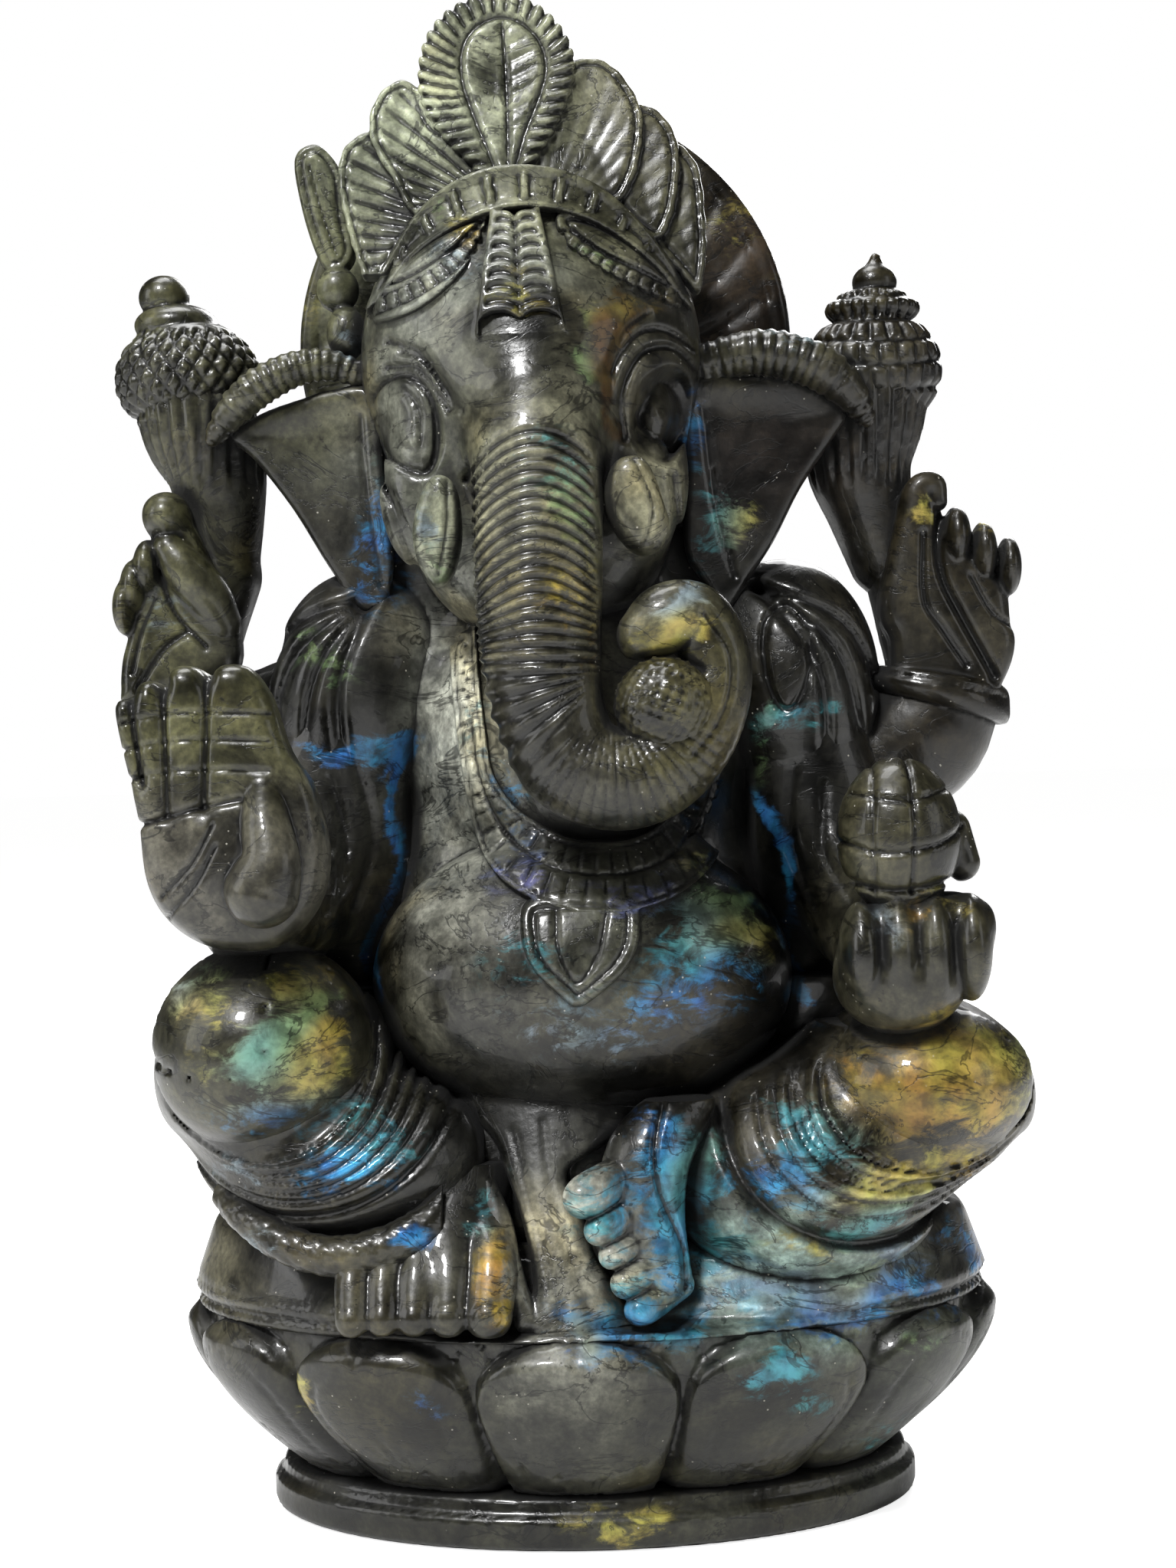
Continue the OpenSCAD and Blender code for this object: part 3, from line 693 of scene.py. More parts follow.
EYE_RIGHT = [
    (-31.4, -7), (-29.1, -4), (-23.5, -3.4), (-19.5, -7.2), (-18.1, -12.5), (-18.6, -19.2), (-21, -22.1),
    (-26.5, -19), (-30.3, -13),
]
EYE_LEFT = [
    (19.4, -17.7), (19, -13.2), (21, -8), (24.9, -3.2), (29.6, -2.6), (31.6, -7), (29.9, -14.9),
    (26.7, -21.6), (22.2, -21),
]
FACE_LINES = [
    ([(17.8, -17), (17.2, -9), (21, -1), (27.3, 1.4), (32, -1)], 0.8, 1.2),
    ([(16.0, -14), (15.6, -6), (19.6, 1.8), (25.1, 4.4), (32, 2.4)], 0.8, 1.0),
    ([(15.2, -5), (18, 2.6), (22.9, 7.2)], 0.7, 0.8),
    ([(-27, 3.8), (-20.8, 0.6), (-17.1, -5), (-12.4, -11.5)], 0.8, 1.3),
    ([(-27.6, -1), (-20.9, -2.6), (-15.4, -11)], 0.7, 1.2),
    ([(-24.6, 1.4), (-18.9, -2.2), (-14.2, -11)], 0.6, 0.9),
    ([(-31, -16), (-27.5, -27), (-23, -40), (-20, -47)], 0.8, 1.0),
    ([(-28.5, -24), (-24, -33), (-21, -44)], 0.6, 0.8),
    ([(-31.8, -24), (-28, -40), (-26, -50)], 0.6, 0.8),
    ([(27, -24), (27.5, -34), (24, -44)], 0.8, 1.0),
    ([(-12.4, -24), (-9.4, -18.6), (-3.5, -14.8), (2.3, -14.2), (8.4, -16), (13.2, -21)], 0.9, 1.5),
]


def head(p):
    x, y, z = p
    cheeks = [((-21, -18, -26), (9, 10, 14), 6), ((22, -18, -24), (8, 10, 14), 6)]
    body = eggs(p, skull_form(p), [((1, -24, -4), (16, 14, 20), 10)] + cheeks)
    right, left = outline(x, z, EYE_RIGHT), outline(x, z, EYE_LEFT)
    cut = line_at(right, 0.2, 0.8, 1.5) - 1.1 * ramp(right, -1.0, -5) + line_at(right, -3.0, 0.5, 0.5)
    ball = np.hypot((x - 25.2) / 4.6, (z + 10.5) / 5.6)
    cut = cut + 3.2 * ramp(left, 0.6, -1.8) - 2.4 * ramp(ball, 1.1, 0.2) + line_at(ball, 1.05, 0.12, 0.6)
    return body, (cut + strokes(x, z, FACE_LINES)) * ramp(y, -6, -14)


TRUNK = [
    (1, -22, -2, 14.5), (1.2, -31, -14, 13.2), (1.0, -37, -26, 12.4), (0.8, -41, -40, 12.2),
    (0.8, -44, -55, 11.6), (1.8, -46, -67, 10.6), (5.5, -47, -77, 10), (13, -47.5, -81.5, 9.5),
    (21, -47, -80.5, 9), (28, -46, -75, 8), (32.4, -45, -67, 7), (32.8, -44, -59, 6.8),
    (29.6, -44, -52.8, 6.8), (24.6, -46, -52.4, 6.6), (20.6, -46.5, -55.5, 5.6),
]


def trunk(p):
    x, y, z = p
    body, _ = limb(p, TRUNK)
    aside = x - 0.9
    bend = np.arctan2(-62 - z, 14 - x)
    down = np.where(z > -62, -z - 0.045 * aside**2 * ramp(z, -61, -46), 62 + 13 * bend)
    zone = ramp(aside, 11.6, 9.2) * ramp(aside, -14.5, -13) * ramp(down, 15.3, 16.4) * ramp(y, -30, -36)
    zone = np.where(z > -62, zone, ramp(bend, 0.95, 0.6) * ramp(x, 11, 6))
    tail = stroke(x, z, [(28, -78), (34, -70), (35.5, -60), (31, -52)], 0.6, 0.5) * ramp(y, -44, -48)
    spokes = 0.4 * notches(np.arctan2(z + 66, x - 14) * 9, 4)
    creases = spokes * ramp(bend, 0.7, 1.0) * ramp(y, -48, -51) * ramp(z, -70, -76)
    lobe = stroke(x, z, [(17, -61), (21, -60.2), (26, -60.6), (30, -62)], 0.9, 1.2)
    return body, 0.85 * ridges(down / 2.5) ** 0.9 * zone + tail + creases + lobe


def trunk_sweet(p):
    x, y, z = p
    rough = 0.4 * np.sin(x * 2.1 + z) * np.sin(z * 2.3 - x * 0.7) * np.sin(y * 1.9)
    return egg(p, (23.4, -49.5, -68.4), (9.2, 8, 8.8)), rough


TUSK_RIGHT = [
    (-19.2, -25.4), (-16.9, -24.2), (-14.4, -25.9), (-13.3, -30.3), (-13.4, -37.6), (-15.6, -43.8),
    (-18.7, -44.8), (-21.4, -40.5), (-22.4, -35.2), (-21.3, -29.4),
]
TUSK_LEFT = [
    (13.7, -27), (15.6, -22.6), (19.6, -21.4), (22.5, -24), (24.9, -31.3), (25.7, -35.2), (23, -39.4),
    (19.2, -39.6), (16, -36.4), (13.6, -31.4),
]


def tusk_right(p):
    x, y, z = p
    face = stroke(x, z, [(-15.6, -26), (-15.8, -34), (-17.6, -43)], 0.5, 0.5)
    return pillow(p, TUSK_RIGHT, -38, 11, 4.2), face * ramp(y, -40, -42)


def tusk_left(p):
    x, y, z = p
    face = stroke(x, z, [(19, -22), (22.4, -31), (21, -38)], 0.5, 0.5)
    return pillow(p, TUSK_LEFT, -36.5, 12, 4.5), face * ramp(y, -38, -41)


EAR_RIGHT = [
    (-61, -11), (-56, -7.2), (-51.4, -5.4), (-45.9, -3.9), (-40.3, -2.5), (-32, -3.4), (-30, -18),
    (-28.5, -34), (-30.3, -45), (-34.8, -47), (-41.3, -38.5), (-48.8, -25.8), (-56.4, -15.6),
]
EAR_LEFT = [
    (31, -4), (41.1, -2), (53.6, -3), (62.5, -9), (60.5, -14), (53.4, -24.2), (47.6, -35), (42, -43),
    (37.5, -49), (33.1, -43), (29.6, -35.7), (30, -20),
]


def ear_flap(p, points, level):
    """An ear's thin sheet, dished inside its edge on the front."""
    x, y, z = p
    shape = outline(x, z, points)
    dish = 1.2 * ramp(shape, 0, -9)
    return plate(shape, level + 1.5, 6.5, 2.2), dish * ramp(y, -0.5, -2.5)


def ear_flap_right(p):
    x, y, z = p
    body, dish = ear_flap(p, EAR_RIGHT, y + 3 + 0.16 * (x + 30) + 0.05 * (z + 20))
    return body, dish + stroke(x, z, [(-34.5, -8), (-33.5, -24), (-31, -42)], 0.8, 0.9) * ramp(y, -1, -3)


def ear_flap_left(p):
    x, y, z = p
    body, dish = ear_flap(p, EAR_LEFT, y + 3 - 0.14 * (x - 34) + 0.05 * (z + 20))
    return body, dish + stroke(x, z, [(34, -8), (36, -26), (39.5, -42)], 0.8, 0.9) * ramp(y, -1, -3)


def ear_rim_right(p):
    line = [
        (-64.5, -3, -11.5, 2), (-60.5, -5, -6.8, 3.4), (-56, -6.5, -2.9, 4.0), (-51.2, -7, -0.1, 3.9),
        (-46, -7, 1.8, 3.6), (-40.2, -6.5, 2.2, 3.3), (-34.5, -6, 0.4, 2.6),
    ]
    body, along = limb(p, line)
    return body, 0.45 * notches(along / 2.0, 1.4)


def ear_rim_left(p):
    line = [
        (67, -3, -11, 2), (64, -5, -6.5, 3.6), (59.4, -6.5, -2.2, 4.6), (53.5, -7, 0.8, 4.9),
        (46, -7, 2.4, 4.8), (40, -6.5, 1.9, 4.4), (33, -6, 0.4, 3.8),
    ]
    body, along = limb(p, line)
    return body, 0.45 * notches(along / 2.2, 1.4)


def tilak(p):
    x, y, z = p
    down = 26 - z
    left, middle, right = -6.7 - 0.125 * down, -2.1 + 0.035 * down, 2.9 + 0.18 * down
    flat = np.maximum(np.maximum(left - x, x - right), np.maximum(z - 27, 1.8 - z))
    body = np.maximum(meet(skull_form(p) - 3.4 - 0.06 * down, flat, 0.9), y + 12)
    low, high = np.where(x < middle, left, middle), np.where(x < middle, middle, right)
    across = 2 * (x - low) / (high - low) - 1
    rim = np.minimum(x - left, right - x)
    steps = ridges((z + 1.3 * across**2) / 2.75) ** 1.3 * ramp(rim, 0.9, 1.8) * ramp(z, 4.5, 6.5)
    arch = 6.0 - 1.6 * across**2 - z
    pocket = 4.4 * ramp(arch, -0.3, 0.4) * ramp(z, 1.9, 2.7) * ramp(rim, 0.4, 1.0)
    return body, 0.8 * steps + line_at(x, middle, 0.45, 0.8) * ramp(z, 3, 6) + pocket


DRAPE_RIGHT = [
    (-7.5, 27), (-12, 26.5), (-17, 24.5), (-23, 20.6), (-28, 15.8), (-31, 12), (-30, 8.2), (-24.1, 7.9),
    (-18.1, 10), (-12.8, 14.2), (-9.7, 18.8), (-8.1, 22.7),
]
DRAPE_LEFT = [
    (6, 26), (12.1, 25.8), (18.7, 22.6), (25.3, 17.8), (30, 12.3), (29, 8.6), (22.2, 10.8), (16.3, 13.3),
    (11.1, 16.6), (7.2, 20.1),
]
LENS_RIGHT = [
    (-8.4, 25.4), (-13.3, 24.4), (-19.3, 21.6), (-24.6, 18), (-26.6, 14.9), (-21.7, 15.7), (-16.4, 18.3),
    (-11.9, 21.2),
]
LENS_LEFT = [(8, 24.6), (12.5, 24.2), (18.5, 21), (24, 17), (27, 13.6), (21, 15.6), (15, 18), (10.5, 21)]


def brow_drape(p, points, lens, beads):
    """A draped leaf on the brow: a lens above, and a beaded edge below."""
    x, y, z = p
    body = np.maximum(meet(skull_form(p) - 1.9, outline(x, z, points), 0.8), y + 6)
    eye = outline(x, z, lens)
    cut = line_at(eye, 0, 0.55, 1.0) + line_at(eye, -1.6, 0.4, 0.4) - 0.5 * ramp(eye, -0.8, -2.5)
    side, along = track(x, z, beads)
    string = ramp(np.abs(side), 1.9, 1.3)
    cut = cut + 0.8 * notches(along / 2.6, 3) * string + line_at(np.abs(side), 1.7, 0.4, 0.6)
    return body, cut * ramp(y, -10, -14)


def brow_drape_right(p):
    beads = [(-30, 11), (-25, 11.6), (-20, 13.2), (-14.5, 16.6), (-9.5, 22)]
    return brow_drape(p, DRAPE_RIGHT, LENS_RIGHT, beads)


def brow_drape_left(p):
    beads = [(8, 21), (11.2, 18.6), (15.2, 15.8), (20, 13.6), (29, 10.6)]
    return brow_drape(p, DRAPE_LEFT, LENS_LEFT, beads)


BAND = [
    (-32, 10.5), (-29.8, 15), (-25.8, 21.5), (-21.2, 27.8), (-15.5, 32.2), (-9, 34.8), (-2.6, 35.7),
    (5, 35), (12.2, 32.7), (18, 28.9), (22.9, 24.2), (27.8, 18), (31.8, 11), (31, 9.6), (27.5, 13.4),
    (24.6, 16.5), (19.8, 20.3), (13.9, 23.9), (8, 26.1), (2.1, 27.1), (-4, 26.9), (-9.8, 25.5),
    (-16.5, 22.6), (-22.8, 18.6), (-28, 13),
]


def crown_band(p):
    x, y, z = p
    flat = outline(x, z, BAND)
    wall = oval(x, y + 2, 37 - 0.1 * (z - 20), 29.5 - 0.12 * (z - 24))
    body = np.maximum(meet(wall, flat, 1.0), y + 1)
    tick = np.arctan2(x, z + 14) / 0.150
    tick = np.abs(tick - np.round(tick)) * 7
    cells = 0.9 * ramp(flat, -1.5, -2.3) * ramp(tick, 0.6, 0.9)
    bars = line_at(tick, 1.1, 0.35, 0.4) * ramp(flat, -1.3, -2)
    return body, cells + bars + line_at(flat, -1.4, 0.4, 0.5)


def crown_cap(p):
    x, y, _ = p
    body = egg(p, (-1, 4, 31), (32, 23, 26))
    around = np.arctan2(x + 1, y - 4)
    return body, 0.5 * notches(around * 9 / math.pi, 3) * ramp(y, 2, 12)


LEAF = [
    (-7, 33), (-11, 38), (-15.4, 42.5), (-19, 48), (-20.4, 54), (-20, 60), (-17.8, 65.5), (-13.2, 70),
    (-6, 72.7), (1.5, 71), (7, 66.5), (10, 60.5), (10.2, 55), (8.4, 49), (5.5, 43), (2.5, 38), (1, 33),
]
LEAF_HEART = [
    (-4.6, 34), (-7, 40.5), (-9.6, 47.5), (-11.6, 54.5), (-11.6, 60.5), (-9.3, 64.8), (-5, 67),
    (-0.8, 66.2), (3, 62.4), (4.4, 57), (3, 51), (0.2, 44), (-1.6, 38), (-2.4, 34),
]


def leaf_level(y, z):
    """How far each point is behind the leaves' own plane, which leans back a little as it rises."""
    return y + 20 - 0.18 * (z - 36)


def crown_leaf_centre(p):
    x, y, z = p
    shape = outline(x, z, LEAF)
    heart = outline(x, z, LEAF_HEART)
    _, along = track(x, z, LEAF)
    scallops = (along - (0.8 - 0.016 * along) * shape) / 2.9
    level = leaf_level(y, z)
    body = plate(shape + 0.4 * ridges(scallops), level + 0.10 * shape, 8.5, 1.6)
    border = 0.75 * ridges(scallops) ** 1.2 * ramp(heart, 0.4, 1.6) * ramp(shape, -0.1, -1.4)
    rib = stroke(x, z, [(-3.8, 66), (-3.2, 52), (-3.2, 36)], 0.6, 0.8)
    veins = 0.22 * notches((z - 0.45 * np.abs(x + 3.3)) / 3.4, 3) * ramp(heart, -0.6, -1.6)
    cut = border + line_at(heart, 0.2, 0.7, 1.2) + rib + veins
    return body, cut * ramp(level, 0, -2)


def side_leaves(p, leaves, depth):
    """The leaves on one side, each with its outline, its depth, its root and its number of grooves."""
    x, y, z = p
    shape, cut = np.inf, 0.0
    for points, back, root, count in leaves:
        flat = outline(x, z, points)
        level = leaf_level(y - back, z)
        reach = np.hypot(x - root[0], z - root[1])
        phase = np.arctan2(x - root[0], z - root[1]) * count / math.pi + 0.02 * reach
        leaf = plate(flat + 0.2 * ridges(phase), level + 0.12 * flat, 8, 1.6)
        grooves = depth * ridges(phase) ** 1.4 * ramp(flat, -1.4, -2.8) + line_at(flat, -1.6, 0.5, 0.6)
        cut = np.where(leaf < shape, grooves * ramp(level, 0, -2), cut)
        shape = np.minimum(shape, leaf)
    return shape, cut


def crown_leaves_right(p):
    upper = [
        (-3, 34), (-8, 42), (-17, 46), (-20, 53), (-23.7, 55.4), (-27.7, 53), (-30, 48), (-29.4, 42),
        (-25.5, 35), (-21.5, 28), (-13, 30),
    ]
    lower = [
        (-27, 45), (-32, 45), (-35.6, 41.5), (-36.4, 35.5), (-35.2, 28), (-33, 20), (-30, 13), (-25, 20),
        (-19, 29), (-22, 38),
    ]
    return side_leaves(p, [(upper, 1.2, (-1, 25), 26), (lower, 3.2, (-2, 20), 30)], 0.8)


def crown_leaves_left(p):
    upper = [
        (-3, 34), (0, 44), (5, 53), (9.6, 58), (14, 58.8), (17.5, 57.2), (20.6, 53.5), (23, 48), (23, 42),
        (21, 34), (17, 29), (9, 32),
    ]
    middle = [
        (20, 49), (25.5, 48.6), (28.9, 44.5), (30, 40), (29.8, 34), (28, 26), (24.5, 22), (17, 29), (16, 40),
    ]
    lower = [
        (29, 41.5), (32.3, 39.8), (34.2, 35.5), (34.8, 28), (34.8, 20), (33, 12), (28.5, 17), (24.5, 23),
        (25, 32),
    ]
    leaves = [(upper, 1.2, (0, 20), 30), (middle, 2.5, (0, 18), 30), (lower, 5, (6, 4), 30)]
    return side_leaves(p, leaves, 0.1)


ORNAMENT = [
    (-46.8, 44.5), (-43.6, 47.5), (-40.2, 46.4), (-37, 41.4), (-36.2, 32.7), (-35, 25.6), (-37.3, 22),
    (-41, 22.2), (-43.3, 26.6), (-45.6, 35),
]


def side_ornament(p):
    x, y, z = p
    shape = outline(x, z, ORNAMENT)
    beads = [((-38.7, -1, 18.2), (4.3, 4.4, 4.6), 0.6), ((-37.1, -2, 9.2), (4.0, 4.4, 5.6), 0.6)]
    body = eggs(p, plate(shape, y - 0.5, 8, 3), beads)
    cut = line_at(shape, -1.8, 0.5, 0.6) + stroke(x, z, [(-43.6, 43), (-41.5, 34), (-38.6, 25)], 0.5, 0.6)
    return body, cut * ramp(y, 0, -2)


def halo_disc(p):
    x, y, z = p
    around = np.arctan2(x - 2.5, z - 10)
    reach = np.hypot(x - 2.5, z - 10)
    body = meet(reach - 52, np.abs(y - 26) - 4, 3)
    feathers = 0.7 * notches(around * 13 / math.pi + 0.05 * reach, 3)
    feathers = feathers * ramp(reach, 26, 34) * ramp(reach, 50, 47)
    return body, feathers + line_at(reach, 48, 0.7, 0.7) + line_at(reach, 39, 0.6, 0.4)


# ---------------------------------------------------------------- the pieces


DARK, PALE, OLIVE, FLASH = "stone_dark", "stone_pale", "stone_olive", "stone_flash"


def piece(shape, anchor, slot, step, name=None, nodes=None, group=None, soft=1.0, grow=7.0):
    """A carved region and the CAD nodes that it stands for, by default the one named as its shape."""
    node = shape.__name__
    name = "stone_" + (name or node)
    made = dict(name=name, shape=shape, anchor=anchor, nodes=nodes or [node], slot=slot, step=step)
    return dict(made, group=group or name, soft=soft, grow=grow)


PIECES = [
    piece(plinth, "base", DARK, 1.0),
    piece(lotus_seat, "base", DARK, 0.85, name="lotus", nodes=["lotus_seat", "lotus_petals"]),
    piece(seat_ground, "body", DARK, 1.0, name="ground"),
    piece(lap, "body", DARK, 1.1),
    piece(central_sash, "body", DARK, 0.6, name="sash"),
    piece(knee_right, "body", FLASH, 0.8),
    piece(leg_right, "body", DARK, 0.65, grow=12),
    piece(hem_band, "body", DARK, 0.5),
    piece(foot_right, "body", DARK, 0.5),
    piece(knee_left, "body", FLASH, 0.8),
    piece(leg_left, "body", FLASH, 0.65, grow=14),
    piece(foot_left, "body", FLASH, 0.5),
    piece(torso, "body", DARK, 1.0),
    piece(belly, "body", DARK, 0.85),
    piece(necklace, "body", DARK, 0.5),
    piece(pendant, "body", DARK, 0.5),
    piece(sleeve_right, "body", DARK, 0.6),
    piece(sleeve_left, "body", DARK, 0.6),
    piece(front_arm_right, "body", DARK, 0.85, grow=9),
    piece(front_arm_left, "body", DARK, 0.85, grow=9),
    piece(front_hand_right, "body", OLIVE, 0.5),
    piece(front_hand_left, "body", OLIVE, 0.5),
    piece(hand_sweet, "body", OLIVE, 0.5),
    piece(rear_arm_right, "body", DARK, 0.85, grow=9),
    piece(rear_hand_right, "body", OLIVE, 0.5, grow=9),
    piece(rear_arm_left, "body", DARK, 0.85, grow=9),
    piece(bracelet_left, "body", OLIVE, 0.7),
    piece(rear_hand_left, "body", OLIVE, 0.5, grow=9),
    piece(bud_right, "face", DARK, 0.5, nodes=["bud_right", "bud_finial_right"]),
    piece(bud_stem_right, "face", DARK, 0.7, grow=9),
    piece(bud_left, "face", DARK, 0.5, nodes=["bud_left", "bud_finial_left"]),
    piece(bud_stem_left, "face", DARK, 0.7, grow=9),
    piece(head, "face", DARK, 0.65, nodes=["head", "eye_right", "eye_left"], group="head", soft=4),
    piece(trunk, "face", DARK, 0.48, group="head", soft=4),
    piece(trunk_sweet, "face", OLIVE, 0.5),
    piece(tusk_right, "face", PALE, 0.5),
    piece(tusk_left, "face", PALE, 0.5),
    piece(ear_flap_right, "face", DARK, 0.75, name="ear_right"),
    piece(ear_flap_left, "face", DARK, 0.75, name="ear_left"),
    piece(ear_rim_right, "face", OLIVE, 0.45),
    piece(ear_rim_left, "face", OLIVE, 0.45),
    piece(tilak, "face", PALE, 0.45),
    piece(brow_drape_right, "face", PALE, 0.45),
    piece(brow_drape_left, "face", PALE, 0.45),
    piece(crown_band, "face", PALE, 0.5),
    piece(crown_cap, "face", PALE, 1.0),
    piece(crown_leaf_centre, "face", PALE, 0.45),
    piece(crown_leaves_right, "face", PALE, 0.45),
    piece(crown_leaves_left, "face", PALE, 0.45, grow=14),
    piece(side_ornament, "face", PALE, 0.5),
    piece(halo_disc, "face", DARK, 0.95, name="halo"),
]

# ---------------------------------------------------------------- skinning

CRISP = 0.7  # the fillet between carved regions
TUCK = 0.35  # how fast a region sinks under its neighbour
LAP = 0.7  # how far it goes under
FAR = 30.0  # a distance beyond every fillet
COARSE = 4  # samples of the fine lattice to each coarse cell
AWAY = 9.0  # the value given to samples far from the surface
CREASE_REACHES = ((1.2, 0.3), (3.5, 0.35), (9.0, 0.35))  # how far off creases are felt, and their shares


def place_pieces():
    """Gives each piece its origin and its box, from the CAD nodes that it stands for."""
    origins = anchors()
    for made in PIECES:
        boxes = [box_mm(node) for node in made["nodes"]]
        made["low"] = np.min([low for low, _ in boxes], axis=0) - made["grow"]
        made["high"] = np.max([high for _, high in boxes], axis=0) + made["grow"]
        made["origin"] = origins[made["anchor"]]


def measure(made, points):
    """A piece's distance at some points, its cut lines included."""
    origin = made["origin"]
    distance, cut = made["shape"](tuple((points[i] - origin[i]).astype(np.float32) for i in range(3)))
    return distance + cut


def near_box(other, points):
    """The points that lie in a piece's box."""
    close = np.ones(points[0].shape, bool)
    for i in range(3):
        close &= (points[i] > other["low"][i]) & (points[i] < other["high"][i])
    return np.nonzero(close)[0]


def field(made, others, points):
    """The piece's own share of the whole carving: below zero inside it."""
    own = measure(made, points)
    group = own
    rest = np.full(own.shape, FAR, np.float32)
    rival = np.full(own.shape, FAR, np.float32)
    for other in others:
        where = near_box(other, points)
        if not len(where):
            continue
        value = measure(other, tuple(c[where] for c in points))
        rival[where] = np.minimum(rival[where], value)
        if other["group"] == made["group"]:
            group[where] = blend(group[where], value, max(made["soft"], other["soft"]))
        else:
            rest[where] = np.minimum(rest[where], value)
    whole = blend(group, rest, CRISP)
    share = own - rival
    return np.maximum(whole + TUCK * np.maximum(share, 0), share - LAP)


def lattice_points(cells, first, offsets, step):
    """The positions of samples, given their coarse cells and places inside them."""
    places = (first[i] + COARSE * cells[i][:, None] + offsets[i][None, :] for i in range(3))
    return tuple((place * step).ravel().astype(np.float32) for place in places)


def sample(made, others, step):
    """The field on a lattice, worked out finely only near the surface."""
    block = COARSE * step
    first = np.floor(made["low"] / block).astype(int) - 1
    count = np.ceil(made["high"] / block).astype(int) + 1 - first
    first = first * COARSE
    cells = tuple(c.ravel() for c in np.indices(count))
    middle = tuple(np.array([(COARSE - 1) / 2]) for _ in range(3))
    coarse = field(made, others, lattice_points(cells, first, middle, step))
    near = np.abs(coarse) < 1.25 * block + 1.6
    sign = np.where(coarse > 0, AWAY, -AWAY).astype(np.float32).reshape(count)
    nested = (count[0], COARSE, count[1], COARSE, count[2], COARSE)
    grid = np.broadcast_to(sign[:, None, :, None, :, None], nested).copy()
    inner = tuple(o.ravel() for o in np.indices((COARSE,) * 3))
    chosen = tuple(c[near] for c in cells)
    fine = field(made, others, lattice_points(chosen, first, inner, step))
    grid[chosen[0], :, chosen[1], :, chosen[2], :] = fine.reshape(-1, COARSE, COARSE, COARSE)
    grid = grid.reshape(tuple(count * COARSE))
    for axis in range(3):
        edge = np.moveaxis(grid, axis, 0)
        edge[0] = AWAY
        edge[-1] = AWAY
    return grid, first * step


def skin(grid):
    """Surface nets: one vertex in each cell that the surface crosses, one quad on each crossed edge."""
    size = np.array(grid.shape)
    weight = np.array([size[1] * size[2], size[2], 1])
    inside = grid < 0
    spots, keys, faces = [], [], []
    for axis in range(3):
        low = [slice(None)] * 3
        high = [slice(None)] * 3
        low[axis], high[axis] = slice(None, -1), slice(1, None)
        low, high = tuple(low), tuple(high)
        at = np.argwhere(inside[low] != inside[high])
        if not len(at):
            continue
        a = grid[low][tuple(at.T)]
        b = grid[high][tuple(at.T)]
        spot = at.astype(np.float64)
        spot[:, axis] += a / (a - b)
        one, two = [i for i in range(3) if i != axis]
        base = at @ weight
        beside = base - weight[one]
        ring = np.stack([base, beside, beside - weight[two], base - weight[two]], axis=1)
        flip = (a < 0) == (axis == 1)
        ring[flip] = ring[flip][:, ::-1]
        faces.append(ring)
        keys.append(ring.ravel())
        spots.append(np.repeat(spot, 4, axis=0))
    keys = np.concatenate(keys)
    spots = np.concatenate(spots)
    _, index = np.unique(keys, return_inverse=True)
    total = np.bincount(index).astype(float)
    points = np.stack([np.bincount(index, spots[:, i]) / total for i in range(3)], axis=1)
    return points, index.reshape(-1, 4)


def outward(points, faces):
    """The surface's direction at each vertex."""
    across = np.cross(points[faces[:, 2]] - points[faces[:, 0]], points[faces[:, 3]] - points[faces[:, 1]])
    total = np.zeros_like(points)
    for corner in range(4):
        for i in range(3):
            total[:, i] += np.bincount(faces[:, corner], across[:, i], len(points))
    return total / np.maximum(np.linalg.norm(total, axis=1, keepdims=True), 1e-9)


def shelter(made, others, points, faces):
    """How much the stone around each vertex closes it in: 0 in the open, 1 deep in a crease."""
    facing = outward(points, faces)
    closed = np.zeros(len(points))
    for reach, weight in CREASE_REACHES:
        spots = tuple((points[:, i] + facing[:, i] * reach).astype(np.float32) for i in range(3))
        space = measure(made, spots)
        for other in others:
            where = near_box(other, spots)
            if len(where):
                space[where] = np.minimum(space[where], measure(other, tuple(c[where] for c in spots)))
        closed += weight * np.clip(1 - space / reach, 0, 1)
    return closed


def hollows(points, faces, step):
    """How the surface bends at each vertex, per mm: positive in a groove, negative on a ridge."""
    count = len(points)
    one, two = faces.ravel(), np.roll(faces, -1, axis=1).ravel()
    links = np.maximum(np.bincount(one, minlength=count), 1)

    def around(values):
        return np.bincount(one, values[two], count) / links

    facing = outward(points, faces)
    bend = sum((around(points[:, i]) - points[:, i]) * facing[:, i] for i in range(3)) * 4 / step**2
    for _ in range(2):
        bend = 0.5 * bend + 0.5 * around(bend)
    return bend


def carve(made):
    """One piece's vertices, faces and surface marks."""
    apart = [np.any(o["low"] >= made["high"]) or np.any(made["low"] >= o["high"]) for o in PIECES]
    others = [o for o, far in zip(PIECES, apart) if o is not made and not far]
    step = made["step"] * 1.0
    grid, start = sample(made, others, step)
    points, faces = skin(grid)
    points = points * step + start
    closed = shelter(made, others, points, faces)
    return points, faces, closed, hollows(points, faces, step), paint(points)


